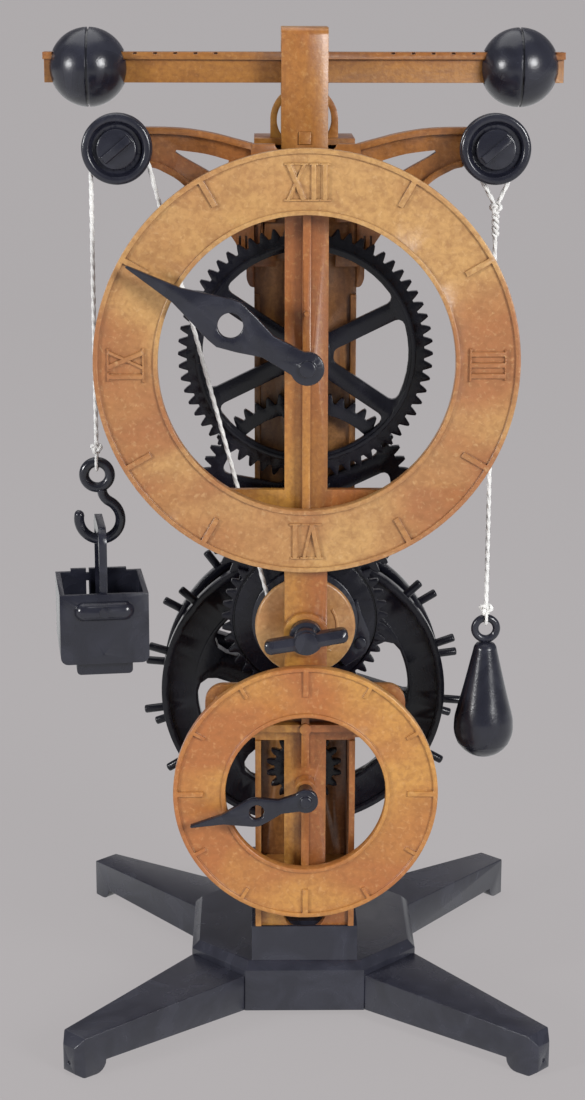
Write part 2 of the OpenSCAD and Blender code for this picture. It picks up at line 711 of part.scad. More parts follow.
module arm_right() arm();
module arm_left() mirror([1, 0, 0]) arm();

// Dials: drawn round the origin, placed at their axes
module stroke(p, q, w) let (d = (q - p) / norm(q - p), n = [-d[1], d[0]] * w / 2)
    polygon([p - n, q - n, q + n, p + n]);

function glyph_w(g) = g == "I" ? 3.1 : 6.4;
function glyph_x(text, i) = i == 0 ? 0 : glyph_x(text, i - 1) + glyph_w(text[i - 1]);

module glyph(g) let (h = numeral_h / 2, w = glyph_w(g)) {
    if (g == "I") stroke([w / 2, -h], [w / 2, h], 1.2);
    if (g == "V") {
        stroke([0.9, h], [w / 2, -h], 1.3);
        stroke([w - 0.9, h], [w / 2, -h], 0.7);
    }
    if (g == "X") {
        stroke([1.1, h], [w - 1.1, -h], 1.3);
        stroke([w - 1.1, h], [1.1, -h], 0.7);
    }
}

module numeral(text) let (w = glyph_x(text, len(text))) translate([-w / 2, 0]) {
    for (i = [0:len(text) - 1]) translate([glyph_x(text, i), 0]) glyph(text[i]);
    for (s = [-1, 1]) stroke([0, s * numeral_h / 2], [w, s * numeral_h / 2], 0.6);
}

module ring(ro, ri) difference() {
    circle(ro);
    circle(ri);
}

module dial(z, ro, ri) {
    difference() {
        translate([0, 0, z]) slab(dial_face, dial_back) ring(ro, ri);
        children(1);
    }
    translate([0, 0, z]) slab(dial_face - relief_h, dial_face) {
        ring(ro, ro - rim_w);
        ring(ri + lip_w, ri);
        children(0);
    }
}

module mark(angle, r0, r1, w) rotate(angle) rect(r0, r1, -w / 2, w / 2);

module main_dial() color(brown) {
    dial(main_z, main_dial_r, main_hole_r) {
        for (i = [0:11]) if (i % 3 != 0)
            mark(i * 30, main_dial_r - rim_w - mark_len, main_dial_r - rim_w + 0.1, 1.7);
        union() {}
    }
    translate([0, 0, main_z]) slab(dial_face - relief_h / 2, dial_face)
        for (k = [0:3]) rotate(-90 * k) translate([0, (main_dial_r - rim_w + main_hole_r + lip_w) / 2])
            numeral(["XII", "III", "VI", "IX"][k]);
    for (p = [dial_pads[0], dial_pads[1]]) rod(peg_r, dial_back, dial_back + 3, p[1]);
    both() rod(peg_r, dial_back, dial_back + 3, wing_pads[0][1], wing_pads[0][0]);
}

module small_dial() color(brown) {
    dial(small_axis_z, small_dial_r, small_hole_r) {
        for (i = [0:11]) mark(i * 30, small_dial_r - rim_w - (i % 3 == 0 ? mark_len : 3.8),
            small_dial_r - rim_w + 0.1, i % 3 == 0 ? 1.8 : 1.2);
        union() {}
    }
    for (p = [dial_pads[2], dial_pads[3]]) rod(peg_r, dial_back, dial_back + 3, p[1]);
    both() rod(peg_r, dial_back, dial_back + 3, wing_pads[1][1], wing_pads[1][0]);
}

// Main axis
module main_wheel() color(slate) {
    difference() {
        gear(main_teeth, gap_down(main_teeth), upper_front, upper_rear, main_z);
        translate([0, 0, main_z]) slab(upper_front - 1, upper_rear + 1)
            windows(6, 26, main_wheel_in, 9, 5.7, 2.2);
    }
    translate([0, 0, main_z]) slab(upper_front - 0.7, upper_front) {
        ring(main_wheel_in + 2.4, main_wheel_in + 0.9);
        ring(8, arbor_r);
    }
}

main_wheel_in = tip_r(main_teeth) - 7.8;
inter_wheel_in = tip_r(inter_teeth) - 6.6;

module main_arbor() color(slate) {
    rod(arbor_r, hand_front, main_rear - 0.1, main_z);
    for (y = [front_rear + 0.4, upper_rear]) difference() {
        rod(arbor_r + 1.3, y, y == upper_rear ? main_y - main_gap + 0.1 : upper_front - 0.7, main_z);
        rod(arbor_r, y - 1, main_y, main_z);
    }
}

// A hand pointing along +X, with its hub at the origin
module hand_plan(len, hub, neck, belly) difference() {
    union() {
        circle(hub);
        polygon([[0, -hub * 0.8], [neck[0], -neck[1]], [belly[0] * 0.78, -belly[1] * 0.8],
            [belly[0], -belly[1]], [belly[0] * 1.12, -belly[1] * 0.92], [len * 0.72, -belly[1] * 0.33],
            [len, -0.35], [len, 0.35], [len * 0.72, belly[1] * 0.33], [belly[0] * 1.12, belly[1] * 0.92],
            [belly[0], belly[1]], [belly[0] * 0.78, belly[1] * 0.8], [neck[0], neck[1]],
            [0, hub * 0.8]]);
    }
    circle(arbor_r);
    translate([belly[0] - 0.5, 0]) circle(belly[1] * 0.5);
}

module hand(z, angle, len, hub, neck, belly, boss) {
    translate([0, 0, z]) slab(hand_front, hand_back) rotate(angle) hand_plan(len, hub, neck, belly);
    translate([0, 0, z]) slab(hand_back, dial_back - 0.4) ring(2.5, arbor_r);
    rod(boss, hand_front - 1.2, hand_front, z);
}

module main_hand() color(slate)
    hand(main_z, main_hand_angle, main_hand_len, 5.2, [13.8, 3.7], [27.5, 7.8], 2.6);
module small_hand() color(slate)
    hand(small_axis_z, small_hand_angle, small_hand_len, 3.9, [8.6, 2.3], [16.7, 4.85], 1.9);

// Intermediate axis
module inter_wheel() color(slate) difference() {
    gear(inter_teeth, gap_down(inter_teeth), back_front, back_rear, inter_z);
    translate([0, 0, inter_z]) slab(back_front - 1, back_rear + 1)
        windows(5, 25, inter_wheel_in, 9, 6, 2);
}
module inter_pinion() color(slate)
    gear(pinion_teeth, tooth_up, upper_front - 0.4, upper_rear + 0.4, inter_z);
module inter_arbor() color(slate) {
    rod(arbor_r, front_y + 1, main_rear - 0.1, inter_z);
    difference() {
        rod(arbor_r + 1.2, front_rear + 0.4, upper_front - 0.4, inter_z);
        rod(arbor_r, front_y, back_rear, inter_z);
    }
}

// Great axis
module great_wheel() color(slate) difference() {
    gear(great_teeth, gap_down(great_teeth), great_front, great_rear, great_z);
    translate([0, 0, great_z]) slab(great_front - 1, great_front + 0.6)
        ring(gear_module * (great_teeth / 2 - 1.9), web_r);
    rod(rivet_r, great_front - 1, great_rear + 1, click_pos[1], click_pos[0]);
}
click_pos = [0, great_z] + polar(click_reach, click_angle);

module great_pinion() color(slate)
    gear(great_leaves, tooth_up, back_front, back_rear, great_z);
module great_arbor() color(slate) rod(arbor_r, key_back + 1, main_rear - 0.1, great_z);

// The teeth point so that the falling weight drives the click clockwise
function ratchet_points() = let (p = 360 / ratchet_teeth, root = ratchet_r - ratchet_depth)
    [for (i = [0:ratchet_teeth - 1]) each [polar(ratchet_r, -i * p), polar(root, -i * p - 1),
        polar(root + ratchet_depth / 2, -i * p - p / 2 - 0.5)]];
module ratchet_wheel() color(slate) difference() {
    translate([0, 0, great_z]) slab(ratchet_front, ratchet_rear) polygon(ratchet_points());
    rod(arbor_r + run_fit, ratchet_front - 1, ratchet_rear + 1, great_z);
}

// Click: an arm round the ratchet, drawn with its tooth just over a ratchet tip
tooth_at = 15;
module click_plan() difference() {
    polygon(concat(arc([0, 0], ratchet_r + 0.7, 22, tooth_at, 1),
        [polar(ratchet_r + 0.12, tooth_at - 0.3), polar(ratchet_r + 0.12, tooth_at - 1.5)],
        arc([0, 0], ratchet_r + 0.7, tooth_at - 8, -50, 9),
        [[13.4, -15.8], [16.6, -13.6], [19.9, -11.2], [21.4, -8.3], [21.2, -4.3], [18.7, 1.9],
         [17.2, 6.6]]));
    translate(polar(click_reach, click_angle)) circle(rivet_r + run_fit);
}
module click() color(slate) translate([0, 0, great_z]) slab(ratchet_front, ratchet_rear) click_plan();
module click_rivet() color(slate) {
    rod(rivet_r, ratchet_front - 0.2, great_rear, click_pos[1], click_pos[0]);
    rod(rivet_r + 0.8, ratchet_front - 0.9, ratchet_front - 0.2, click_pos[1], click_pos[0]);
}

// Cord drum, carried on the great arbor; the disc's edge is rounded and an arrow shows the way to wind
disc_edge = 1;
module arrow(r, start, end) {
    polygon(concat(arc([0, 0], r + 0.4, start, end, 12), arc([0, 0], r - 0.4, end, start, 12)));
    polygon([polar(r + 1.5, end + 2), polar(r, end - 8), polar(r - 1.5, end + 2)]);
}
module drum_disc() color(brown) {
    translate([0, 0, great_z]) rotate([90, 0, 0]) rotate_extrude() polygon(concat(
        [[arbor_r + run_fit, -core_front], [disc_r, -core_front]],
        arc([disc_r - disc_edge, -disc_front - disc_edge], disc_edge, 0, 90, 5),
        [[arbor_r + run_fit, -disc_front]]));
    translate([0, 0, great_z]) slab(disc_front - 0.3, disc_front) arrow(10.3, 34, -46);
}
module cord_drum() color(slate) difference() {
    union() {
        rod(core_r, core_front, flange_front, great_z);
        rod(flange_r, flange_front, ratchet_front, great_z);
    }
    rod(arbor_r + run_fit, core_front - 1, ratchet_front + 1, great_z);
}
module cord_winding() color(white) difference() {
    rod(core_r + cord_d, core_front + 0.4, flange_front - 0.4, great_z);
    rod(core_r, core_front, flange_front, great_z);
}

// Winding key
key_front = hand_back - 0.6;
key_back = key_front + key_t;
key_ridge = 1.2;
module winding_key() color(slate) difference() {
    union() {
        rod(shank_r, key_back, disc_front, great_z);
        rod(5.4, key_back - 0.1, dial_back - 0.5, great_z);
        translate([0, 0, great_z]) slab(key_front, key_back) rotate(key_angle) {
            circle(key_t);
            rect(-key_half + 2.1, key_half - 2.1, -2.1, 2.1);
            both() translate([key_half - 2.1, 0]) circle(2.1);
        }
        translate([0, 0, great_z]) rotate([0, -key_angle, 0]) {
            side(-key_half + 2.1, key_half - 2.1)
                polygon([[key_front - key_ridge, 0], [key_front, -2.1], [key_front, 2.1]]);
            both() translate([key_half - 2.1, key_front, 0]) rotate([90, 0, 0])
                cylinder(h = key_ridge, r1 = 2.1, r2 = 0);
        }
        rod(3.6, key_front - key_ridge - 0.3, key_front, great_z);
    }
    rod(arbor_r + run_fit, key_back + 0.5, disc_front + 1, great_z);
}

// Escape wheel: two rims with pins, front and rear
module escape_rim(y, height, lip) difference() {
    union() {
        translate([0, 0, escape_z]) slab(y - escape_rim_w / 2, y + escape_rim_w / 2) difference() {
            circle(escape_rim_r);
            windows(6, 42, escape_rim_r - height, 16, escape_spoke_w, 5);
        }
    }
    translate([0, 0, escape_z]) slab(y - escape_rim_w / 2 - 1, y - escape_rim_w / 2 + lip)
        ring(escape_rim_r - 2.4, escape_rim_r - height + 1.2);
    rod(arbor_r, y - escape_rim_w, y + escape_rim_w, escape_z);
}

// One row of pins; grow widens them into their own holes
module pin_row(y, start, grow, reach) for (i = [0:pin_count - 1])
    translate([0, y, escape_z]) rotate([0, -(start + i * 360 / pin_count), 0]) rotate([0, 90, 0])
        translate([0, 0, escape_rim_r - pin_seat]) cylinder(h = reach, r = pin_r + grow);

rear_phase = pin_phase + 180 / pin_count;
pin_len = pin_tip_r - escape_rim_r + pin_seat;
module escape_wheel_front() color(slate) difference() {
    escape_rim(front_row_y, escape_rim_h, 1);
    pin_row(front_row_y, pin_phase, 0.02, pin_len);
}
module escape_wheel_rear() color(slate) difference() {
    escape_rim(rear_row_y, escape_rear_h, 0.6);
    pin_row(rear_row_y, rear_phase, 0.02, pin_len);
}
module escape_pins() color(slate) {
    pin_row(front_row_y, pin_phase, 0, pin_len);
    pin_row(rear_row_y, rear_phase, 0, pin_len);
}
module escape_arbor() color(slate) {
    rod(arbor_r, front_y + 1, rear_y + frame_t, escape_z);
    difference() {
        union() {
            rod(3.4, main_rear + 0.5, front_row_y - escape_rim_w / 2, escape_z);
            rod(5, front_row_y + escape_rim_w / 2, rear_row_y - escape_rim_w / 2, escape_z);
        }
        rod(arbor_r, main_y, rear_y, escape_z);
    }
}
module escape_pinion() color(slate)
    gear(escape_teeth, tooth_up, great_front - 0.3, great_rear, escape_z);
module small_drive_gear() color(slate)
    gear(drive_teeth, gap_down(drive_teeth), back_front, back_rear, escape_z);

// Small axis
module small_wheel() color(slate)
    gear(small_teeth, tooth_up, back_front, back_rear, small_axis_z);
module small_arbor() color(slate) {
    rod(arbor_r, hand_front, main_rear - 0.1, small_axis_z);
    difference() {
        rod(arbor_r + 1.3, front_rear + 0.4, back_front, small_axis_z);
        rod(arbor_r, front_y, back_rear, small_axis_z);
    }
}

// Foliot bar with a flange on top, notched for the balls
module bar_section(grow) {
    rect(staff_y - web_half - grow, staff_y + web_half + grow, bar_z - grow, bar_top + grow);
    rect(staff_y - bar_flange_half - grow, staff_y + bar_flange_half + grow, flange_z - grow,
        bar_top + grow);
}
module foliot_bar() color(brown) difference() {
    union() {
        side(-bar_half + 0.3, bar_half - 0.3) bar_section(0);
        side(-bar_half, bar_half) rect(staff_y - bar_flange_half, staff_y + bar_flange_half,
            flange_z, bar_top);
        translate([0, staff_y, bar_z]) cylinder(h = bar_h, r = 4.4);
    }
    both() for (i = [0:notch_count - 1])
        box(notch_start + i * notch_pitch - 0.6, notch_start + i * notch_pitch + 0.6,
            staff_y - 5, staff_y, bar_top - 0.7, bar_top + 1);
    translate([0, staff_y, bar_z - 1]) cylinder(h = bar_h + 2, r = staff_r);
}
module verge_staff() color(slate) {
    translate([0, staff_y, pallet_low - 0.8])
        cylinder(h = beam_z + 2 - pallet_low + 0.8, r = staff_r);
    translate([0, staff_y, arch_z + arch_r + 0.3]) difference() {
        cylinder(h = bar_gap - 0.3, r = 3.2);
        translate([0, 0, -1]) cylinder(h = bar_gap + 2, r = staff_r);
    }
}

// Pallets between the pins of the two rows
pallet_low = escape_z + escape_rim_r + 2.2;
pallet_high = escape_z + pin_tip_r - 0.7;
module pallet(direction) translate([0, staff_y, 0]) rotate(direction)
    box(staff_r + 0.5, pallet_len, -pallet_t / 2, pallet_t / 2, pallet_low, pallet_high);
module pallets() color(slate) {
    pallet(-90 - pallet_angle);
    pallet(90 + pallet_angle);
    translate([0, staff_y, pallet_low]) difference() {
        cylinder(h = pallet_high - pallet_low + 2, r = 3);
        translate([0, 0, -1]) cylinder(h = pallet_high - pallet_low + 4, r = staff_r);
    }
}

// A ball of two halves that slides on the bar
ball_edge = asin(ball_groove / 2 / ball_r);
module ball(x) color(slate) difference() {
    translate([x, staff_y, bar_z + bar_h / 2]) rotate([0, 90, 0]) rotate_extrude()
        polygon(concat([[0, -ball_r]], arc([0, 0], ball_r, -87, -ball_edge, 17),
            [[ball_r - ball_groove_h, -ball_groove / 2], [ball_r - ball_groove_h, ball_groove / 2]],
            arc([0, 0], ball_r, ball_edge, 87, 17), [[0, ball_r]]));
    side(x - ball_r - 1, x + ball_r + 1) bar_section(slide_gap);
}
module ball_left() ball(-ball_reach);
module ball_right() ball(ball_reach);

// Pulleys on axles with capped heads
pulley_front = hang_y - pulley_w / 2;
pulley_back = hang_y + pulley_w / 2;
groove_r = pulley_cord_r - cord_d / 2 - 0.05;
module pulley(x) color(slate) translate([x, 0, pulley_z]) rotate([90, 0, 0]) rotate_extrude()
    polygon([[axle_r + run_fit, -pulley_back], [pulley_r - 0.6, -pulley_back],
        [pulley_r, -pulley_back + 0.6], [pulley_r, -hang_y - 2], [groove_r, -hang_y - 0.95],
        [groove_r, -hang_y + 0.95], [pulley_r, -hang_y + 2], [pulley_r, -pulley_front - 0.6],
        [pulley_r - 0.6, -pulley_front], [pulley_r - 2.2, -pulley_front],
        [cap_r + 1.4, -pulley_front - 1.8], [axle_r + run_fit, -pulley_front - 1.8]]);
module pulley_left() pulley(-pulley_x);
module pulley_right() pulley(pulley_x);

module pulley_axle(x) color(slate) {
    rod(axle_r, pulley_front + 1.5, arm_back, pulley_z, x);
    rod(cap_r, pulley_front - 0.2, pulley_front + 1.6, pulley_z, x);
    translate([x, 0, pulley_z]) slab(pulley_front - 1.4, pulley_front - 0.2) rotate(40)
        rect(-cap_r + 1, cap_r - 1, -1.3, 1.3);
}
module pulley_axle_left() pulley_axle(-pulley_x);
module pulley_axle_right() pulley_axle(pulley_x);

// Tube of flat sides along points in the plane of the weights
function unit(v) = v / norm(v);
function tangent(p, i) = unit(p[min(i + 1, len(p) - 1)] - p[max(i - 1, 0)]);
module tube(p, r, sides = 8, start_y = hang_y) let (n = len(p)) polyhedron(
    points = [for (i = [0:n - 1]) let (t = tangent(p, i), nx = [t[1], -t[0]])
        for (k = [0:sides - 1]) let (a = 360 * (k + 0.5) / sides) [p[i][0] + r * cos(a) * nx[0],
            (i == 0 ? start_y : hang_y) + r * sin(a), p[i][1] + r * cos(a) * nx[1]]],
    faces = concat([[for (k = [0:sides - 1]) k]], [[for (k = [sides - 1:-1:0]) (n - 1) * sides + k]],
        [for (i = [0:n - 2]) for (k = [0:sides - 1]) each [
            [i * sides + k, (i + 1) * sides + k, (i + 1) * sides + (k + 1) % sides],
            [i * sides + k, (i + 1) * sides + (k + 1) % sides, i * sides + (k + 1) % sides]]]));

// The cord leaves the drum at its left and runs over the left pulley
pulley_c = [-pulley_x, pulley_z];
run = norm(pulley_c - [0, great_z]);
lean = atan2(pulley_z - great_z, -pulley_x) - 90;
cross_angle = asin((pulley_cord_r - drum_cord_r) / run);
leave_angle = lean + cross_angle;
drum_end = [0, great_z] + polar(drum_cord_r, 180 + leave_angle) + polar(5.8, 90 + leave_angle);
function over_left() = arc(pulley_c, pulley_cord_r, leave_angle, 180, 14);
module drive_cord() color(white) tube(concat([drum_end], over_left()), cord_d / 2, 8, cord_y);
drop_low = ring_z + ring_mid + 6;
module drop_cord() color(white) translate([drop_x, hang_y, drop_low])
    cylinder(h = pulley_z - 0.1 - drop_low, r = cord_d / 2);

// Small cord loop through a ring, with a knot above it
module knot(x, z, r, loop) {
    translate([x, hang_y, z]) rotate([0, 90, 0]) rotate_extrude() translate([loop, 0]) circle(loop_r);
    difference() {
        translate([x, hang_y, z + loop + r * 0.75]) sphere(r);
        translate([x, hang_y, z]) rotate([0, 90, 0]) translate([0, 0, -3])
            cylinder(h = 6, r = loop - loop_r);
        translate([x - r, hang_y - r, z + loop + r * 0.75 + 0.9 * r]) cube(2 * r);
    }
}
module hook_knot() color(white) {
    knot(drop_x, ring_z + ring_mid, 2, hook_wire / 2 + 0.3 + loop_r);
}

// Hook: a closed ring, an S bend and an open hook below
module wire_ring(r, wire) rotate([90, 0, 0]) rotate_extrude() translate([r, 0]) circle(wire / 2);
bend_r = 4.2;
bend_c = [hook_x, hook_z] + polar(hook_mid + bend_r, 62);
module weight_hook() color(slate) {
    translate([drop_x, hang_y, ring_z]) wire_ring(ring_mid, hook_wire);
    tube(concat(arc([hook_x, hook_z], hook_mid, -205, 62, 22), arc(bend_c, bend_r, 242, 176, 5)),
        hook_wire / 2, 12);
}

// Bucket hung on a bail that pivots inside its front and rear walls
module hang() translate([hook_x, hang_y, 0]) rotate(bucket_turn) children();
bail_half = bucket_d / 2 - bucket_wall - 0.3;
module bail_side() difference() {
    union() {
        rect(-bail_half, bail_half, bail_z, bail_top - 9);
        translate([0, bail_top - 9]) bail_arch(bail_half);
        both() translate([bail_half - 1.1, bail_z]) circle(2.4);
    }
    translate([0, bail_top - 11]) bail_arch(bail_half - 2.2);
    rect(-bail_half + 2.2, bail_half - 2.2, bail_z - 5, bail_top - 11.3);
    both() rect(bail_half, bail_half + 3, bail_z - 5, bail_top);
}
// Top of the bail with rounded corners
module bail_arch(r) polygon(concat(arc([r - 5, 9 - 5 - (bail_half - r)], 5, 0, 90, 6),
    arc([-r + 5, 9 - 5 - (bail_half - r)], 5, 90, 180, 6), [[-r, -2], [r, -2]]));
module bucket_bail() color(slate) hang() {
    side(-bail_w / 2, bail_w / 2) bail_side();
    for (s = [-1, 1]) translate([0, s * (bail_half + 0.7), bail_z]) rotate([90, 0, 0])
        cylinder(h = 1.6, r = 1, center = true);
}

module bucket() color(slate) hang() difference() {
    union() {
        slab(-bucket_d / 2, bucket_d / 2) bucket_face(0);
        for (s = [-1, 1]) translate([0, s * (bucket_d / 2 - 0.6), bail_z]) capsule(3.2, 6.4);
        for (s = [-1, 1]) translate([0, s * (bucket_d / 2 + 2), bail_z]) rotate([90, 0, 0])
            cylinder(h = 1.6, r = 1.7, center = true);
        translate([-0.4, -bucket_d / 2, bucket_rim - 20.2]) rotate([90, 0, 0])
            cylinder(h = 0.6, r = 0.45, center = true);
        slab(bucket_d / 2 - bucket_wall, bucket_d / 2)
            rect(-bucket_w / 2 + 5, bucket_w / 2 - 5, bucket_rim - 1, bucket_rim + 1);
        slab(-bucket_d / 2 + 3, bucket_d / 2 - 3) translate([0, bucket_rim - bucket_h]) {
            rect(-9, 9, -3, 0.1);
            rect(-7.6, 7.6, -4.4, -2.9);
            both() translate([7.6, -3]) circle(1.4);
        }
    }
    slab(-bucket_d / 2 + bucket_wall, bucket_d / 2 - bucket_wall) bucket_face(bucket_wall);
    for (s = [-1, 1]) translate([0, s * bucket_d / 2, bail_z]) rotate([90, 0, 0])
        cylinder(h = 2 * bucket_wall, r = 1 + run_fit, center = true);
    for (z = [[-9, -3], [-0.5, 2]]) box(-4.1, -3.2, bucket_d / 2 - bucket_wall - 1, bucket_d / 2 + 3,
        bucket_rim + z[0], bucket_rim + z[1]);
}
module bucket_face(in) let (w = bucket_w / 2 - in, low = bucket_rim - bucket_h + in)
    polygon(concat([[w, bucket_rim + (in > 0 ? 1.5 : 0)], [-w, bucket_rim + (in > 0 ? 1.5 : 0)]],
        arc([-w + 2.4, low + 2.4], 2.4, 180, 270, 5), arc([w - 2.4, low + 2.4], 2.4, 270, 360, 5)));
module capsule(r, half) {
    rotate([0, 90, 0]) cylinder(h = 2 * half, r = r, center = true);
    for (s = [-1, 1]) translate([s * half, 0, 0]) sphere(r);
}

// Counterweight hung from the right pulley by a knotted loop
counter_ring_r = 3.55;
counter_wire = 2.5;
pear_neck = 0.8;
join_z = pulley_z - 17;
counter_top = counter_z + counter_ring_r + 1.9 + 1.5;
module counter_cord() color(white) {
    tube(concat([[counter_x - 0.9, join_z]], arc([pulley_x, pulley_z], pulley_cord_r, 200, -20, 14),
        [[counter_x + 0.9, join_z]]), cord_d / 2);
    translate([counter_x, hang_y, join_z - 1.5]) sphere(2.3);
    translate([counter_x, hang_y, join_z - 9.5]) cylinder(h = 7, r = 1.3);
    translate([counter_x, hang_y, counter_top]) cylinder(h = join_z - 9 - counter_top, r = cord_d / 2);
    knot(counter_x, counter_z + counter_ring_r, 2, counter_wire / 2 + 0.3 + loop_r);
}

function pear_points() = concat([[0, 0]], arc([0, pear_r], pear_r, -90, 8, 8),
    [[pear_r * 0.9, pear_h * 0.42], [pear_r * 0.69, pear_h * 0.62], [pear_r * 0.5, pear_h * 0.82],
     [pear_r * 0.41, pear_h * 0.93], [pear_r * 0.36, pear_h], [0, pear_h]]);
module counterweight() color(slate) {
    translate([counter_x, hang_y, counter_z]) wire_ring(counter_ring_r, counter_wire);
    translate([counter_x, hang_y, counter_z - counter_ring_r - pear_neck - pear_h])
        rotate_extrude() polygon(pear_points());
}

base_hub();
leg_front_left();
leg_front_right();
leg_rear_left();
leg_rear_right();
front_frame();
main_frame();
rear_frame();
top_plate();
arm_left();
arm_right();
foliot_bridge();
bridge_pegs();
staff_arch();
staff_bracket();
main_dial();
small_dial();
main_wheel();
main_arbor();
main_hand();
inter_wheel();
inter_pinion();
inter_arbor();
great_wheel();
great_pinion();
great_arbor();
click();
click_rivet();
drum_disc();
cord_drum();
ratchet_wheel();
winding_key();
cord_winding();
escape_wheel_front();
escape_wheel_rear();
escape_pins();
escape_arbor();
escape_pinion();
small_drive_gear();
small_wheel();
small_arbor();
small_hand();
foliot_bar();
verge_staff();
pallets();
ball_left();
ball_right();
pulley_left();
pulley_right();
pulley_axle_left();
pulley_axle_right();
drive_cord();
drop_cord();
hook_knot();
weight_hook();
bucket_bail();
bucket();
counter_cord();
counterweight();
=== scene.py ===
import json
import math

import bmesh
import bpy
import numpy as np
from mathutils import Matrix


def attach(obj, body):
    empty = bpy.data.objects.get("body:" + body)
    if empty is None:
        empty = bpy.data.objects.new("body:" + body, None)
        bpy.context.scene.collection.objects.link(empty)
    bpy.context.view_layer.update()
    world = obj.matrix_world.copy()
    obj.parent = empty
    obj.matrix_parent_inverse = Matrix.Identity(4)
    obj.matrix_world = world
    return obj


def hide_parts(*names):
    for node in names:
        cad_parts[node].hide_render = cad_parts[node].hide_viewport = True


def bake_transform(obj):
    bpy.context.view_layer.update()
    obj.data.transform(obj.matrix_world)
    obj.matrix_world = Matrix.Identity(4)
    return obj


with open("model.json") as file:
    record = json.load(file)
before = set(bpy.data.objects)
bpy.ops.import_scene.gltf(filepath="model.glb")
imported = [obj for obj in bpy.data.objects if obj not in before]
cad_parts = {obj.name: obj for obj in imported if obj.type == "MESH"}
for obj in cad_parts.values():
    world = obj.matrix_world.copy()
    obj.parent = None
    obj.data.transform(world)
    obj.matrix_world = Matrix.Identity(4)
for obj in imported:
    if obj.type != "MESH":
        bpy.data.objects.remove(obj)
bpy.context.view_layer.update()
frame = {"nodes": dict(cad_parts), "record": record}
nodes = frame["nodes"]
mm = 0.001

# Places in the train, in millimetres, as in the solids
train = {"greatZ": 135.605, "mainZ": 223.235, "pulleyZ": 287.635, "pulleyX": 58.7,
         "hangY": -22.6, "drumCordY": -26.45, "dialFace": -43.0}


# Node groups

def newGroup(name, inputs, outputs):
    group = bpy.data.node_groups.new(name, "ShaderNodeTree")
    for label, kind, value in inputs:
        socket = group.interface.new_socket(name=label, in_out="INPUT", socket_type=kind)
        if value is not None:
            socket.default_value = value
    for label, kind in outputs:
        group.interface.new_socket(name=label, in_out="OUTPUT", socket_type=kind)
    return group, group.nodes.new("NodeGroupInput"), group.nodes.new("NodeGroupOutput")


def addNode(tree, kind, **values):
    node = tree.nodes.new(kind)
    for key, value in values.items():
        if hasattr(node, key):
            setattr(node, key, value)
        else:
            node.inputs[key.replace("_", " ")].default_value = value
    return node


def remap(tree, socket, low, high, outLow=0.0, outHigh=1.0):
    node = addNode(tree, "ShaderNodeMapRange")
    node.inputs["From Min"].default_value = low
    node.inputs["From Max"].default_value = high
    node.inputs["To Min"].default_value = outLow
    node.inputs["To Max"].default_value = outHigh
    tree.links.new(socket, node.inputs["Value"])
    return node.outputs["Result"]


def blendColors(tree, factor, a, b):
    node = tree.nodes.new("ShaderNodeMix")
    node.data_type = "RGBA"
    tree.links.new(factor, node.inputs["Factor"])
    for socket, value in ((node.inputs["A"], a), (node.inputs["B"], b)):
        if isinstance(value, bpy.types.NodeSocket):
            tree.links.new(value, socket)
        else:
            socket.default_value = value
    return node.outputs["Result"]


def noiseOn(tree, vector, scale, detail, distortion=0.0):
    node = addNode(tree, "ShaderNodeTexNoise", Scale=scale, Detail=detail, Distortion=distortion)
    tree.links.new(vector, node.inputs["Vector"])
    return node.outputs["Fac"]


skinOutputs = [("Color", "NodeSocketColor"), ("Roughness", "NodeSocketFloat"),
               ("Height", "NodeSocketFloat")]


# Brown plastic: two colours that flowed into each other, long streaks and red-brown clouds
def buildGrainGroup():
    group, inside, outside = newGroup("mouldedGrain", [
        ("Vector", "NodeSocketVector", None),
        ("Streak", "NodeSocketVector", None),
        ("Light", "NodeSocketColor", (0.6, 0.3, 0.1, 1)),
        ("Dark", "NodeSocketColor", (0.2, 0.07, 0.02, 1)),
        ("Cloud", "NodeSocketColor", (0.3, 0.1, 0.03, 1)),
        ("Spark", "NodeSocketColor", (0.7, 0.4, 0.15, 1)),
        ("Contrast", "NodeSocketFloat", 1.0),
    ], skinOutputs)
    streaks = noiseOn(group, inside.outputs["Streak"], scale=240.0, detail=5.0, distortion=1.2)
    ripple = noiseOn(group, inside.outputs["Vector"], scale=620.0, detail=5.0, distortion=0.5)
    clouds = noiseOn(group, inside.outputs["Streak"], scale=34.0, detail=2.5, distortion=0.6)
    flecks = noiseOn(group, inside.outputs["Vector"], scale=1500.0, detail=2.0)
    streakMask = remap(group, streaks, 0.46, 0.72)
    rippleMask = remap(group, ripple, 0.40, 0.68, 0.0, 0.42)
    cloudMask = remap(group, clouds, 0.40, 0.60)
    scaled = addNode(group, "ShaderNodeMath", operation="MULTIPLY")
    group.links.new(streakMask, scaled.inputs[0])
    group.links.new(inside.outputs["Contrast"], scaled.inputs[1])
    base = blendColors(group, cloudMask, inside.outputs["Light"], inside.outputs["Cloud"])
    grained = blendColors(group, scaled.outputs[0], base, inside.outputs["Dark"])
    rippled = blendColors(group, rippleMask, grained, inside.outputs["Dark"])
    sparks = noiseOn(group, inside.outputs["Vector"], scale=700.0, detail=3.0, distortion=0.5)
    sparkMask = remap(group, sparks, 0.56, 0.76, 0.0, 0.42)
    bright = blendColors(group, sparkMask, rippled, inside.outputs["Spark"])
    group.links.new(bright, outside.inputs["Color"])
    group.links.new(remap(group, streaks, 0.3, 0.7, 0.30, 0.44), outside.inputs["Roughness"])
    group.links.new(remap(group, flecks, 0.3, 0.7), outside.inputs["Height"])
    return group


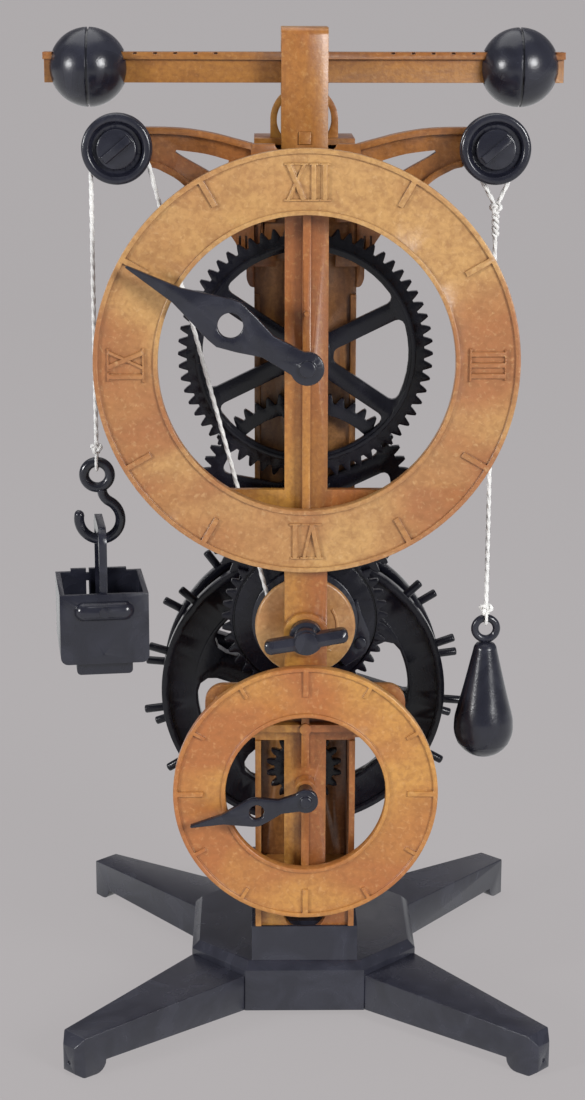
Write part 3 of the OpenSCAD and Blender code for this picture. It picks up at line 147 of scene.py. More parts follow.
# Slate plastic: nearly even, with faint flow marks and a fine skin
def buildSlateGroup():
    group, inside, outside = newGroup("slateSkin", [
        ("Vector", "NodeSocketVector", None),
        ("Base", "NodeSocketColor", (0.04, 0.045, 0.06, 1)),
        ("Flow", "NodeSocketColor", (0.07, 0.075, 0.10, 1)),
    ], skinOutputs)
    flow = noiseOn(group, inside.outputs["Vector"], scale=60.0, detail=4.0, distortion=1.5)
    skin = noiseOn(group, inside.outputs["Vector"], scale=1800.0, detail=2.0)
    group.links.new(blendColors(group, remap(group, flow, 0.4, 0.7), inside.outputs["Base"],
                                inside.outputs["Flow"]), outside.inputs["Color"])
    group.links.new(remap(group, flow, 0.3, 0.7, 0.20, 0.30), outside.inputs["Roughness"])
    group.links.new(remap(group, skin, 0.3, 0.7), outside.inputs["Height"])
    return group


# Cord: fine fibres and a little dust in the lay of the strands
def buildFibreGroup():
    group, inside, outside = newGroup("cordFibre", [
        ("Vector", "NodeSocketVector", None),
        ("Clean", "NodeSocketColor", (0.82, 0.82, 0.8, 1)),
        ("Shade", "NodeSocketColor", (0.6, 0.59, 0.56, 1)),
    ], [("Color", "NodeSocketColor"), ("Height", "NodeSocketFloat")])
    fibres = noiseOn(group, inside.outputs["Vector"], scale=2600.0, detail=3.0, distortion=0.4)
    group.links.new(blendColors(group, remap(group, fibres, 0.4, 0.75), inside.outputs["Clean"],
                                inside.outputs["Shade"]), outside.inputs["Color"])
    group.links.new(fibres, outside.inputs["Height"])
    return group


groups = {"grain": buildGrainGroup(), "slate": buildSlateGroup(), "fibre": buildFibreGroup()}


def newMaterial(name):
    material = bpy.data.materials.new(name)
    material.use_nodes = True
    tree = material.node_tree
    return material, tree, tree.nodes["Principled BSDF"], tree.nodes.new("ShaderNodeTexCoord")


def placeGroup(tree, group, values):
    node = tree.nodes.new("ShaderNodeGroup")
    node.node_tree = group
    for key, value in values.items():
        node.inputs[key].default_value = value
    return node


def addBump(tree, shader, height, strength, distance):
    bump = addNode(tree, "ShaderNodeBump", Strength=strength, Distance=distance)
    tree.links.new(height, bump.inputs["Height"])
    tree.links.new(bump.outputs["Normal"], shader.inputs["Normal"])


def grainMaterial(name, values):
    material, tree, shader, coords = newMaterial(name)
    mapping = addNode(tree, "ShaderNodeMapping")
    mapping.inputs["Scale"].default_value = values["stretch"]
    mapping.inputs["Rotation"].default_value = values["turn"]
    tree.links.new(coords.outputs["Object"], mapping.inputs["Vector"])
    group = placeGroup(tree, groups["grain"], {key: values[key.lower()] for key in
                                               ("Light", "Dark", "Cloud", "Spark", "Contrast")})
    tree.links.new(coords.outputs["Object"], group.inputs["Vector"])
    tree.links.new(mapping.outputs["Vector"], group.inputs["Streak"])
    # painted shade: creases of the moulding, found by ambient occlusion within the piece alone, are
    # blended towards the look's crease colour
    creaseShade = addNode(tree, "ShaderNodeAmbientOcclusion", samples=8, only_local=True,
                     Distance=0.0022)
    openness = remap(tree, creaseShade.outputs["AO"], 0.35, 0.8)
    tree.links.new(blendColors(tree, openness, values["creaseShade"], group.outputs["Color"]),
                   shader.inputs["Base Color"])
    tree.links.new(group.outputs["Roughness"], shader.inputs["Roughness"])
    addBump(tree, shader, group.outputs["Height"], strength=0.12, distance=0.0002)
    shader.inputs["Coat Weight"].default_value = 0.12
    shader.inputs["Coat Roughness"].default_value = 0.22
    return material


def slateMaterial(name, base, flow):
    material, tree, shader, coords = newMaterial(name)
    group = placeGroup(tree, groups["slate"], {"Base": base, "Flow": flow})
    tree.links.new(coords.outputs["Object"], group.inputs["Vector"])
    tree.links.new(group.outputs["Color"], shader.inputs["Base Color"])
    tree.links.new(group.outputs["Roughness"], shader.inputs["Roughness"])
    addBump(tree, shader, group.outputs["Height"], strength=0.08, distance=0.0002)
    return material


def cordMaterial(name):
    material, tree, shader, coords = newMaterial(name)
    group = placeGroup(tree, groups["fibre"], {})
    tree.links.new(coords.outputs["Object"], group.inputs["Vector"])
    tree.links.new(group.outputs["Color"], shader.inputs["Base Color"])
    addBump(tree, shader, group.outputs["Height"], strength=0.5, distance=0.0001)
    shader.inputs["Roughness"].default_value = 0.85
    return material


# each look's crease colour is painted shade, blended into the creases of its pieces
brownLook = {
    "upright": {"stretch": (1.0, 1.0, 0.2), "turn": (0, 0, 0), "contrast": 0.4,
                "light": (0.46, 0.225, 0.046, 1), "dark": (0.18, 0.06, 0.014, 1),
                "cloud": (0.32, 0.108, 0.028, 1), "spark": (0.55, 0.31, 0.11, 1),
                "creaseShade": (0.12, 0.035, 0.008, 1)},
    "level": {"stretch": (0.2, 1.0, 1.0), "turn": (0, 0, 0), "contrast": 0.4,
              "light": (0.36, 0.155, 0.030, 1), "dark": (0.13, 0.042, 0.011, 1),
              "cloud": (0.235, 0.066, 0.019, 1), "spark": (0.47, 0.25, 0.095, 1),
              "creaseShade": (0.12, 0.035, 0.008, 1)},
    "arm": {"stretch": (0.2, 1.0, 1.0), "turn": (0, 0, 0), "contrast": 0.4,
            "light": (0.30, 0.118, 0.028, 1), "dark": (0.11, 0.034, 0.01, 1),
            "cloud": (0.21, 0.06, 0.02, 1), "spark": (0.42, 0.21, 0.08, 1),
            "creaseShade": (0.09, 0.025, 0.006, 1)},
    # a darker copy of the brown for pieces deep inside the frame: painted shade
    "inner": {"stretch": (1.0, 1.0, 0.2), "turn": (0, 0, 0), "contrast": 0.5,
              "light": (0.30, 0.135, 0.036, 1), "dark": (0.09, 0.028, 0.008, 1),
              "cloud": (0.19, 0.065, 0.02, 1), "spark": (0.40, 0.20, 0.07, 1),
              "creaseShade": (0.06, 0.018, 0.005, 1)},
    "dial": {"stretch": (0.5, 1.0, 0.8), "turn": (0, 0.5, 0), "contrast": 0.4,
             "light": (0.485, 0.275, 0.10, 1), "dark": (0.23, 0.095, 0.03, 1),
             "cloud": (0.345, 0.138, 0.05, 1), "spark": (0.60, 0.39, 0.185, 1),
             "creaseShade": (0.12, 0.035, 0.008, 1)},
    "lowDial": {"stretch": (0.5, 1.0, 0.8), "turn": (0, -0.4, 0), "contrast": 0.4,
                "light": (0.53, 0.262, 0.062, 1), "dark": (0.26, 0.095, 0.025, 1),
                "cloud": (0.385, 0.134, 0.037, 1), "spark": (0.62, 0.36, 0.15, 1),
                "creaseShade": (0.12, 0.035, 0.008, 1)},
}
# Slate plastic: material name, base colour, flow colour; the wheels' copy is darker, painted shade
# inside the frame, and the base pieces' copy lighter, painted light from below
slateLook = {"slate": ("slatePlastic", (0.011, 0.0115, 0.019, 1), (0.02, 0.021, 0.032, 1)),
             "slateLit": ("slateLit", (0.018, 0.0185, 0.028, 1), (0.03, 0.031, 0.045, 1)),
             "slateShaded": ("slateShaded", (0.005, 0.005, 0.009, 1), (0.01, 0.01, 0.016, 1))}
materials = {key: grainMaterial("brown" + key.capitalize(), look)
             for key, look in brownLook.items()}
materials.update({key: slateMaterial(*look) for key, look in slateLook.items()})
# the wheels' darker slate, which is painted shade, also mirrors less
darkShader = materials["slateShaded"].node_tree.nodes["Principled BSDF"]
darkShader.inputs["Specular IOR Level"].default_value = 0.3
materials["cord"] = cordMaterial("whiteCord")
print("stage: materials ready")


# Surfaces

def gridFaces(rows, columns, closeRows, closeColumns):
    i = np.arange(rows if closeRows else rows - 1)[:, None]
    j = np.arange(columns if closeColumns else columns - 1)[None, :]
    a, b = i * columns + j, i * columns + (j + 1) % columns
    c, d = ((i + 1) % rows) * columns + (j + 1) % columns, ((i + 1) % rows) * columns + j
    return np.stack([a, b, c, d], axis=-1).reshape(-1, 4)


# A grid of points becomes one sheet of quads; open ends of a tube get a fan to a centre point
def gridShell(points, closeRows=False):
    rows, columns, _ = points.shape
    verts = points.reshape(-1, 3)
    faces = gridFaces(rows, columns, closeRows, True).tolist()
    if not closeRows:
        verts = np.vstack([verts, points[0].mean(axis=0), points[-1].mean(axis=0)])
        k = np.arange(columns)
        ahead, last = (k + 1) % columns, (rows - 1) * columns
        start, end = np.full(columns, rows * columns), np.full(columns, rows * columns + 1)
        faces += np.stack([k, start, ahead], axis=-1).tolist()
        faces += np.stack([last + k, last + ahead, end], axis=-1).tolist()
    return verts, faces


def joinShells(shells):
    verts, faces, offset = [], [], 0
    for v, f in shells:
        verts.append(v)
        faces += [[k + offset for k in face] for face in f]
        offset += len(v)
    return np.vstack(verts), faces


def makePiece(name, shell, body, material, replaced=()):
    mesh = bpy.data.meshes.new(name)
    mesh.from_pydata(shell[0].tolist(), [], shell[1])
    mesh.validate()
    bm = bmesh.new()
    bm.from_mesh(mesh)
    bmesh.ops.recalc_face_normals(bm, faces=bm.faces)
    bm.to_mesh(mesh)
    bm.free()
    mesh.shade_smooth()
    piece = bpy.data.objects.new(name, mesh)
    bpy.context.scene.collection.objects.link(piece)
    mesh.materials.append(material)
    if body:
        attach(piece, body)
    for node in replaced:
        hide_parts(node)
    return piece


# Points at even steps along a polyline
def evenPath(points, step, closed=False):
    points = np.asarray(points, float)
    if closed:
        points = np.vstack([points, points[:1]])
    reach = np.concatenate([[0], np.cumsum(np.linalg.norm(np.diff(points, axis=0), axis=1))])
    count = max(4, int(round(reach[-1] / step)))
    at = np.linspace(0, reach[-1], count + 1)
    at = at[:-1] if closed else at
    return np.stack([np.interp(at, reach, points[:, k]) for k in range(3)], axis=-1), at


# Three strands along a path, twisting as they go: radius r(1 - lobe + lobe cos(3 angle - phase))
def strandShell(points, radius, pitch, lobe, closed=False, step=0.36, sides=18):
    path, along = evenPath(points, step, closed)
    if closed:
        tangent = np.roll(path, -1, axis=0) - np.roll(path, 1, axis=0)
        turns = max(1, round(along[-1] / pitch))
        phase = 2 * math.pi * turns * np.arange(len(path)) / len(path)
    else:
        tangent = np.gradient(path, axis=0)
        phase = 2 * math.pi * along / pitch
    tangent /= np.linalg.norm(tangent, axis=1)[:, None]
    guide = np.array([0.0, 1.0, 0.0])
    # a path that runs along y somewhere needs another guide
    if np.abs(tangent @ guide).max() > 0.9:
        guide = np.array([0.31, 0.2, 0.93])
    across = np.cross(tangent, guide)
    across /= np.linalg.norm(across, axis=1)[:, None]
    upward = np.cross(across, tangent)
    angle = np.linspace(0, 2 * math.pi, sides, endpoint=False)[None, :]
    size = radius * (1 - lobe + lobe * np.cos(3 * angle - phase[:, None]))
    grid = (path[:, None, :] + (size * np.cos(angle))[..., None] * across[:, None, :]
            + (size * np.sin(angle))[..., None] * upward[:, None, :])
    return gridShell(grid * mm, closeRows=closed)


def circlePoints(center, radius, start, end, count, y):
    a = np.radians(np.linspace(start, end, count))
    return np.stack([center[0] + radius * np.cos(a), np.full(count, y),
                     center[1] + radius * np.sin(a)], axis=-1)


# Overhand knot: x = sin t + 2 sin 2t, y = -1.1 sin 3t, z = cos t - 2 cos 2t
def knotPoints(center, size):
    t = np.linspace(0, 2 * math.pi, 90, endpoint=False)
    shape = np.stack([np.sin(t) + 2 * np.sin(2 * t), -1.1 * np.sin(3 * t),
                      np.cos(t) - 2 * np.cos(2 * t)], axis=-1)
    return np.asarray(center) + size * shape


# Cords, hook and counterweight; a drop goes from a pulley's axis to the ring that hangs there

cords = {"diameter": 1.5, "pitch": 3.6, "lobe": 0.14, "knotSize": 0.52, "pulleyRadius": 8.2,
         "drumRadius": 8.85, "hookDrop": 103.3, "counterDrop": 155.0, "counterAside": 0.6}
driving = {"lead": 5.8, "coilTurn": 440, "coilBack": -25.45, "coilFront": -27.45,
           "loopRadius": 2.5, "loopRise": 4.15, "knotRise": 4.4, "endRise": 5.2}
counter = {"join": 17, "spread": 0.5, "knotDrop": 1.4, "twistDrop": 2, "twistLength": 8,
           "twistTurns": 2.2, "twistRadius": 0.62, "singleDrop": 9.4, "singleRise": 3.8,
           "ringKnotRise": 2.9, "loopRadius": 2.0}
hook = {"wire": 3.3, "ringRadius": 5.8, "hookRadius": 8.35, "drop": 14.6, "aside": 0.6,
        "bend": 4.2, "joinAngle": 62, "tipAngle": -205, "neckAngle": 176}
pear = {"ringRadius": 3.55, "wire": 2.5, "neck": 0.8, "height": 39.5, "radius": 9.85}


def cordTube(points, thick=1.0, **more):
    return strandShell(points, cords["diameter"] / 2 * thick, pitch=cords["pitch"],
                       lobe=cords["lobe"], **more)


# A small upright ring of thin cord through a hanging ring
def loopShell(x, y, z, radius):
    a = np.linspace(0, 2 * math.pi, 60, endpoint=False)
    ring = np.stack([np.full(60, x), y + radius * np.cos(a), z + radius * np.sin(a)], axis=-1)
    return strandShell(ring, radius=0.55, pitch=2.4, lobe=0.1, closed=True, step=0.25, sides=14)


def makeCords():
    y, zTop = train["hangY"], train["pulleyZ"]
    pulley, drum = cords["pulleyRadius"], cords["drumRadius"]
    # the slanted run leaves the drum at its left and meets the pulley at its right
    dx, dz = train["pulleyX"], zTop - train["greatZ"]
    leave = math.degrees(math.atan2(dz, -dx)) - 90 + math.degrees(
        math.asin((pulley - drum) / math.hypot(dx, dz)))
    cosine, sine = math.cos(math.radians(leave)), math.sin(math.radians(leave))
    low = np.array([-drum * cosine - driving["lead"] * sine, train["drumCordY"],
                    train["greatZ"] - drum * sine + driving["lead"] * cosine])
    over = circlePoints((-train["pulleyX"], zTop), pulley, leave, 180, 40, y)
    makePiece("drivingCord", cordTube(np.vstack([low[None], over])), "stand",
              materials["cord"], ["drive_cord"])
    x, loopZ = -train["pulleyX"] - pulley, zTop - cords["hookDrop"] + driving["loopRise"]
    drop = np.array([[x, y, zTop], [x, y, loopZ + driving["endRise"]]])
    dropping = makePiece("droppingCord", cordTube(drop), None,
                         materials["cord"], ["drop_cord"])
    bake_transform(dropping)
    knot = knotPoints((x, y, loopZ + driving["knotRise"]), cords["knotSize"])
    makePiece("hookKnot", joinShells([cordTube(knot, thick=0.85, closed=True, step=0.3),
                                      loopShell(x, y, loopZ, driving["loopRadius"])]),
              "weight_cord", materials["cord"], ["hook_knot"])
    # the coil on the drum ends where the slanted run leaves
    turn = np.radians(180 + leave + np.linspace(0, driving["coilTurn"], 200))
    depth = np.linspace(driving["coilBack"], driving["coilFront"], 200)
    coil = np.stack([drum * np.cos(turn), depth, train["greatZ"] + drum * np.sin(turn)], axis=-1)
    makePiece("drumCoil", cordTube(coil, thick=0.98), "winding_drum",
              materials["cord"], ["cord_winding"])
    # right side: a loop over the pulley, tied, then two strands twisted, then one down to the ring
    middle, join = train["pulleyX"] + cords["counterAside"], zTop - counter["join"]
    ring = zTop - cords["counterDrop"] + pear["ringRadius"]
    loop = np.vstack([[[middle - counter["spread"], y, join]],
                      circlePoints((train["pulleyX"], zTop), pulley, 200, -20, 60, y),
                      [[middle + counter["spread"], y, join]]])
    t = np.linspace(0, 1, 60)
    aside = counter["twistRadius"] * np.cos(2 * math.pi * counter["twistTurns"] * t)
    ahead = counter["twistRadius"] * np.sin(2 * math.pi * counter["twistTurns"] * t)
    twisted = [np.stack([middle + sign * aside, y + sign * ahead,
                         join - counter["twistDrop"] - counter["twistLength"] * t], axis=-1)
               for sign in (1, -1)]
    single = np.array([[middle, y, join - counter["singleDrop"]],
                       [middle, y, ring + counter["singleRise"]]])
    topKnot = knotPoints((middle, y, join - counter["knotDrop"]), cords["knotSize"])
    lowKnot = knotPoints((middle, y, ring + counter["ringKnotRise"]), cords["knotSize"] * 1.2)
    makePiece("counterCord", joinShells([
        cordTube(loop), *[cordTube(strand, thick=0.9) for strand in twisted],
        cordTube(topKnot, thick=0.9, closed=True, step=0.3), cordTube(single),
        cordTube(lowKnot, thick=0.85, closed=True, step=0.3),
        loopShell(middle, y, ring, counter["loopRadius"])]), "counter_hanger",
        materials["cord"], ["counter_cord"])


makeCords()
print("stage: cords ready")


# Round wire along a path; an open one eases to a rounded tip at its start
def wireShell(points, radius, closed=False, step=0.3, sides=28):
    path, along = evenPath(points, step, closed)
    size = np.full(len(path), radius)
    if not closed:
        tip = along < radius
        size[tip] = np.sqrt(np.clip(radius**2 - (radius - along[tip])**2, 0.002, None))
    if closed:
        tangent = np.roll(path, -1, axis=0) - np.roll(path, 1, axis=0)
    else:
        tangent = np.gradient(path, axis=0)
    tangent /= np.linalg.norm(tangent, axis=1)[:, None]
    across = np.cross(tangent, [0.0, 1.0, 0.0])
    across /= np.linalg.norm(across, axis=1)[:, None]
    angle = np.linspace(0, 2 * math.pi, sides, endpoint=False)[None, :]
    grid = (path[:, None, :] + (size[:, None] * np.cos(angle))[..., None] * across[:, None, :]
            + (size[:, None] * np.sin(angle))[..., None] * np.array([0.0, 1.0, 0.0]))
    return gridShell(grid * mm, closeRows=closed)


def makeHook():
    y, wire = train["hangY"], hook["wire"] / 2
    ringCenter = (-train["pulleyX"] - cords["pulleyRadius"], train["pulleyZ"] - cords["hookDrop"])
    middle = hook["hookRadius"] - wire
    center = (ringCenter[0] + hook["aside"], ringCenter[1] - hook["drop"])
    a = math.radians(hook["joinAngle"])
    bend = (center[0] + (middle + hook["bend"]) * math.cos(a),
            center[1] + (middle + hook["bend"]) * math.sin(a))
    ring = circlePoints(ringCenter, hook["ringRadius"] - wire, 0, 360, 80, y)[:-1]
    bow = circlePoints(center, middle, hook["tipAngle"], hook["joinAngle"], 80, y)
    neck = circlePoints(bend, hook["bend"], 180 + hook["joinAngle"], hook["neckAngle"], 24, y)[1:]
    shell = joinShells([wireShell(ring, wire, closed=True),
                        wireShell(np.vstack([bow, neck]), wire)])
    makePiece("hangingHook", shell, "hook", materials["slate"], ["weight_hook"])


# Turned body: radius as a smooth curve of height, from a round bottom to a slim neck and shoulder
def makeCounterweight():
    x, y = train["pulleyX"] + cords["counterAside"], train["hangY"]
    ringZ = train["pulleyZ"] - cords["counterDrop"]
    foot = ringZ - pear["ringRadius"] - pear["neck"] - pear["height"]
    share = [0.0, 0.01, 0.05, 0.12, 0.25, 0.33, 0.42, 0.52, 0.62, 0.72, 0.82, 0.90, 0.955,
             0.985, 1.0]
    width = [0.02, 0.30, 0.62, 0.85, 1.0, 0.985, 0.90, 0.79, 0.69, 0.595, 0.50, 0.425, 0.375,
             0.30, 0.02]
    level = np.concatenate([np.linspace(0, 0.12, 30), np.linspace(0.12, 0.955, 60)[1:],
                            np.linspace(0.955, 1, 12)[1:]])
    radius = np.interp(level, share, width)
    # round bottom up to the widest level, then three rounds of smoothing
    widest, bottom = 0.25, 0.2526
    low = level < widest
    radius[low] = np.sqrt(np.clip(1 - ((widest - level[low]) / bottom) ** 2, 0.0004, 1))
    for _ in range(3):
        radius[1:-1] = (radius[:-2] + 2 * radius[1:-1] + radius[2:]) / 4
    angle = np.linspace(0, 2 * math.pi, 64, endpoint=False)[None, :]
    reach, height = pear["radius"] * radius[:, None], (foot + pear["height"] * level)[:, None]
    grid = np.stack(np.broadcast_arrays(x + reach * np.cos(angle), y + reach * np.sin(angle),
                                        height), axis=-1)
    ring = circlePoints((x, ringZ), pear["ringRadius"], 0, 360, 60, y)[:-1]
    shell = joinShells([gridShell(grid * mm), wireShell(ring, pear["wire"] / 2, closed=True)])
    makePiece("hangingPear", shell, "counter_hanger", materials["slate"],
              ["counterweight"])


makeHook()
makeCounterweight()
print("stage: hook and counterweight ready")


# Numerals

numerals = {"height": 10.8, "rise": 0.9, "sunk": 0.3, "step": 0.04, "thick": 1.55, "thin": 0.95,
            "serif": 0.6, "labels": ("XII", "III", "VI", "IX"), "middle": 55.9,
            "widths": {"I": 3.4, "V": 7.2, "X": 7.2}}


# Each letter is a few raised strokes, as (ends, width); x is from its left edge, y from its middle
def letterLines(letter):
    h, w = numerals["height"] / 2, numerals["widths"][letter]
    thick, thin, serif = numerals["thick"], numerals["thin"], numerals["serif"]
    if letter == "I":
        return [([(w / 2, -h), (w / 2, h)], thick), ([(0.4, h), (w - 0.4, h)], serif),
                ([(0, -h), (w, -h)], serif)]
    if letter == "V":
        return [([(w / 2, -h), (1.3, h)], thick), ([(w / 2 + 0.1, -h), (w - 1.1, h)], thin),
                ([(0.1, h), (2.8, h)], serif), ([(w - 2.3, h), (w, h)], serif)]
    return [([(w - 1.3, -h), (1.3, h)], thick), ([(1.1, -h), (w - 1.1, h)], thin),
            ([(0.1, h), (2.7, h)], serif), ([(w - 2.2, h), (w - 0.1, h)], serif),
            ([(0, -h), (w, -h)], serif)]


# Stroke with a flat top and eased sides, swept from end to end; its ends slope in the same way
def strokeShell(points, width, turn, share):
    p = np.asarray(points, float)
    along = (p[1] - p[0]) / np.linalg.norm(p[1] - p[0])
    across = np.array([-along[1], along[0]])
    # the slope's levels: along the stroke in mm from an end, across it in halves of its width
    tips = np.array([-0.22, -0.1, 0.12, 0.3])
    sides = np.array([-1.12, -1.0, -0.8, -0.6, 0.6, 0.8, 1.0, 1.12])
    slope = np.array([0.0, 0.62, 0.95, 1.0, 1.0, 0.95, 0.62, 0.0])
    ends = np.concatenate([tips, np.linalg.norm(p[1] - p[0]) - tips[::-1]])
    flat = p[0] + ends[:, None, None] * along + (sides * width / 2)[None, :, None] * across
    height = np.minimum(slope[:, None], slope[None, :]) * numerals["rise"] * share
    c, d = math.cos(turn), math.sin(turn)
    u, v = flat[..., 0], flat[..., 1] + numerals["middle"]
    top = np.stack([u * c + v * d, train["dialFace"] - height,
                    train["mainZ"] - u * d + v * c], axis=-1)
    base = top.copy()
    base[..., 1] = train["dialFace"] + numerals["sunk"]
    verts = np.vstack([top.reshape(-1, 3), base.reshape(-1, 3)]) * mm
    rows, columns = u.shape
    faces = gridFaces(rows, columns, False, False)
    ring = np.concatenate([np.arange(columns), np.arange(2, rows + 1) * columns - 1,
                           rows * columns - 2 - np.arange(columns - 1),
                           np.arange(rows - 2, 0, -1) * columns])
    ahead = np.roll(ring, -1)
    count = rows * columns
    walls = np.stack([ring, ahead, ahead + count, ring + count], axis=-1)
    return verts, np.vstack([faces, faces[:, ::-1] + count, walls]).tolist()


def makeNumerals():
    shells = []
    for k, label in enumerate(numerals["labels"]):
        offset = -sum(numerals["widths"][letter] for letter in label) / 2
        for letter in label:
            # each stroke is a little lower than the last, so that crossing tops don't coincide
            for n, (line, width) in enumerate(letterLines(letter)):
                moved = [(px + offset, py) for px, py in line]
                shells.append(strokeShell(moved, width, k * math.pi / 2, 1 - numerals["step"] * n))
            offset += numerals["widths"][letter]
    makePiece("dialNumerals", joinShells(shells), "stand", materials["dial"])


makeNumerals()
print("stage: numerals ready")


# Moulded pieces: a merged copy of each rigid solid with its edges eased

bevels = {"weld": 2e-6, "flat": 0.6, "sharp": 28, "segments": 2}
edges = {"default": 0.22, "escape_pins": 0.6, "foliot_bar": 0.3, "foliot_bridge": 0.45,
         "main_dial": 0.3, "small_dial": 0.3, "main_wheel": 0.16, "inter_wheel": 0.16,
         "great_wheel": 0.16, "base_hub": 0.35, "bucket": 0.4, "main_hand": 0.45,
         "small_hand": 0.35, "winding_key": 0.6, "bucket_bail": 0.5, "pulley_axle_left": 0.4,
         "pulley_axle_right": 0.4, "click": 0.2, "leg_front_left": 0.5, "leg_front_right": 0.5,
         "leg_rear_left": 0.5, "leg_rear_right": 0.5, "pulley_left": 0.35, "pulley_right": 0.35,
         "ball_left": 0.15, "ball_right": 0.15}
# rear_frame, main_frame and staff_bracket take the darker inner copy of the brown, which is painted
# shade
finishes = {"foliot_bar": "level", "arm_left": "arm", "arm_right": "arm", "main_dial": "dial",
            "small_dial": "lowDial", "drum_disc": "dial", "top_plate": "level",
            "rear_frame": "inner", "main_frame": "inner", "staff_bracket": "inner"}
# wheels and pinions take the darker slate, painted shade for their place inside the frame
darkNodes = {"escape_wheel_front", "escape_wheel_rear", "escape_pins", "great_wheel", "inter_wheel",
             "main_wheel", "small_wheel", "great_pinion", "inter_pinion", "escape_pinion",
             "small_drive_gear", "ratchet_wheel"}
# the hub and legs take the lighter slate, painted light bounced from below
baseNodes = {"base_hub", "leg_front_left", "leg_front_right", "leg_rear_left", "leg_rear_right"}
brownNodes = {"front_frame", "main_frame", "rear_frame", "top_plate", "arm_left", "arm_right",
              "foliot_bridge", "bridge_pegs", "staff_arch", "staff_bracket", "main_dial",
              "small_dial", "drum_disc", "foliot_bar"}
made = {"drive_cord", "drop_cord", "hook_knot", "cord_winding", "counter_cord", "weight_hook",
        "counterweight"}
bodyOf = {node: body for body, members in frame["record"]["behaviour"]["bodies"].items()
          for node in members}


def easeEdges(name):
    mesh = nodes[name].data.copy()
    mesh.name = name + "Skin"
    bm = bmesh.new()
    bm.from_mesh(mesh)
    bmesh.ops.remove_doubles(bm, verts=bm.verts, dist=bevels["weld"])
    bmesh.ops.dissolve_limit(bm, angle_limit=math.radians(bevels["flat"]), verts=bm.verts,
                             edges=bm.edges)
    bmesh.ops.connect_verts_concave(bm, faces=bm.faces)
    bm.to_mesh(mesh)
    bm.free()
    mesh.shade_smooth()
    piece = bpy.data.objects.new(name + "Skin", mesh)
    bpy.context.scene.collection.objects.link(piece)
    bevel = piece.modifiers.new("easedEdges", "BEVEL")
    bevel.width = edges.get(name, edges["default"]) * mm
    bevel.segments = bevels["segments"]
    bevel.limit_method = "ANGLE"
    bevel.angle_limit = math.radians(bevels["sharp"])
    bevel.use_clamp_overlap = True
    bevel.harden_normals = True
    mesh.materials.clear()
    brown = name in brownNodes
    plain = "slateShaded" if name in darkNodes else "slateLit" if name in baseNodes else "slate"
    mesh.materials.append(materials[finishes.get(name, "upright") if brown else plain])
    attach(piece, bodyOf[name])
    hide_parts(name)


for name in sorted(nodes):
    if name not in made:
        easeEdges(name)
print("stage: moulded pieces ready")


# Floor, lamps and camera

studio = {"grey": (0.452, 0.43, 0.435, 1), "bounce": (0.62, 0.60, 0.61, 1),
          "sky": (0.9, 0.92, 1.0, 1), "world": 0.26, "gloss": 0.8, "glossTop": 0.08,
          "cameraShare": 0.88, "aim": (0, 0, 0.17)}
sweep = {"front": -3.0, "back": 1.6, "radius": 0.8, "top": 3.5, "half": 3.5, "across": 8}
lamps = {"keyLamp": {"place": (0.82, -0.98, 0.62), "size": 0.42, "energy": 15.0},
         "sideLamp": {"place": (-1.12, -0.68, 0.5), "size": 0.2, "energy": 10.5},
         "topLamp": {"place": (-0.25, 0.3, 1.7), "size": 1.6, "energy": 12.0}}
viewpoint = {"place": (-0.01403, -0.71844, 0.33663), "turn": (75.70, -0.1, -0.795), "lens": 72.44,
             "sensor": 36, "near": 0.01}


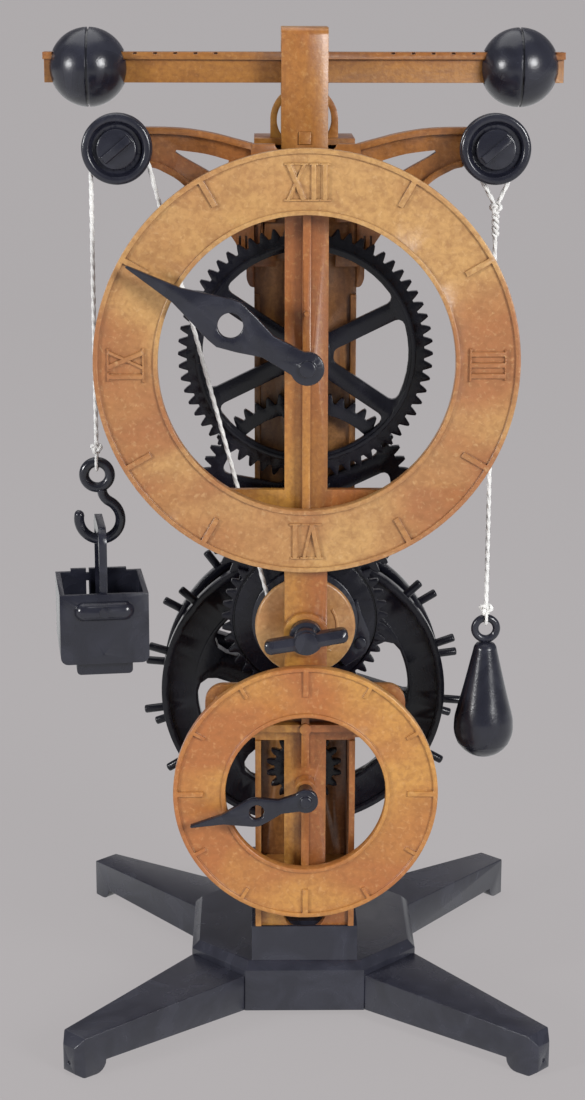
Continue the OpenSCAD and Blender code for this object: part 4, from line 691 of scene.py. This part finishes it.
# Sweep: flat floor that curves up into a wall, z = r - sqrt(r*r - (y - back)^2)
def makeFloor():
    back, radius, count = sweep["back"], sweep["radius"], sweep["across"]
    flat = np.linspace(sweep["front"], back, 12)
    rise = np.radians(np.linspace(0, 90, 24))[1:]
    depth = np.concatenate([flat, back + radius * np.sin(rise), [back + radius]])
    height = np.concatenate([np.zeros(12), radius - radius * np.cos(rise), [sweep["top"]]])
    width = np.linspace(-sweep["half"], sweep["half"], count)
    grid = np.stack(np.broadcast_arrays(width[None, :], depth[:, None], height[:, None]), axis=-1)
    faces = gridFaces(len(depth), count, False, False)
    mesh = bpy.data.meshes.new("studioFloor")
    mesh.from_pydata(grid.reshape(-1, 3).tolist(), [], faces.tolist())
    mesh.shade_smooth()
    floor = bpy.data.objects.new("studioFloor", mesh)
    bpy.context.scene.collection.objects.link(floor)
    material = bpy.data.materials.new("studioGrey")
    material.use_nodes = True
    tree = material.node_tree
    shader, out = tree.nodes["Principled BSDF"], tree.nodes["Material Output"]
    shader.inputs["Roughness"].default_value = 0.9
    shader.inputs["Specular IOR Level"].default_value = 0.1
    # the camera sees mostly an even grey that the lamps don't change
    glow = addNode(tree, "ShaderNodeEmission", Color=studio["grey"])
    path = addNode(tree, "ShaderNodeLightPath")
    isCamera = path.outputs["Is Camera Ray"]
    tree.links.new(blendColors(tree, isCamera, studio["bounce"], studio["grey"]),
                   shader.inputs["Base Color"])
    share = addNode(tree, "ShaderNodeMath", operation="MULTIPLY")
    tree.links.new(isCamera, share.inputs[0])
    share.inputs[1].default_value = studio["cameraShare"]
    # mirrored rays see a brighter floor, but not a brighter wall
    bright = addNode(tree, "ShaderNodeEmission", Color=(1, 1, 1, 1), Strength=studio["gloss"])
    place = tree.nodes.new("ShaderNodeSeparateXYZ")
    tree.links.new(tree.nodes.new("ShaderNodeNewGeometry").outputs["Position"], place.inputs[0])
    low = addNode(tree, "ShaderNodeMath", operation="MULTIPLY")
    tree.links.new(path.outputs["Is Glossy Ray"], low.inputs[0])
    tree.links.new(remap(tree, place.outputs["Z"], studio["glossTop"], 0.0), low.inputs[1])
    mirrored = addNode(tree, "ShaderNodeMixShader")
    tree.links.new(low.outputs[0], mirrored.inputs[0])
    tree.links.new(shader.outputs[0], mirrored.inputs[1])
    tree.links.new(bright.outputs[0], mirrored.inputs[2])
    mix = addNode(tree, "ShaderNodeMixShader")
    tree.links.new(share.outputs[0], mix.inputs[0])
    tree.links.new(mirrored.outputs[0], mix.inputs[1])
    tree.links.new(glow.outputs[0], mix.inputs[2])
    tree.links.new(mix.outputs[0], out.inputs["Surface"])
    mesh.materials.append(material)


def addLamp(name, values):
    lamp = bpy.data.lights.new(name, "AREA")
    lamp.size, lamp.energy = values["size"], values["energy"]
    holder = bpy.data.objects.new(name, lamp)
    holder.location = values["place"]
    toward = np.array(studio["aim"]) - np.array(values["place"])
    holder.rotation_euler = (math.atan2(math.hypot(toward[0], toward[1]), -toward[2]), 0,
                             math.atan2(toward[1], toward[0]) - math.pi / 2)
    bpy.context.scene.collection.objects.link(holder)


makeFloor()
for name, values in lamps.items():
    addLamp(name, values)
world = bpy.data.worlds.new("studioWorld")
world.use_nodes = True
world.node_tree.nodes["Background"].inputs["Color"].default_value = studio["sky"]
world.node_tree.nodes["Background"].inputs["Strength"].default_value = studio["world"]
bpy.context.scene.world = world
camera = bpy.data.objects.new("photoCamera", bpy.data.cameras.new("photoCamera"))
camera.location = viewpoint["place"]
camera.rotation_euler = [math.radians(v) for v in viewpoint["turn"]]
camera.data.lens = viewpoint["lens"]
camera.data.sensor_width = viewpoint["sensor"]
camera.data.clip_start = viewpoint["near"]
bpy.context.scene.collection.objects.link(camera)
bpy.context.scene.camera = camera
bpy.context.scene.view_settings.view_transform = "Standard"
print("stage: floor, lamps and camera ready")
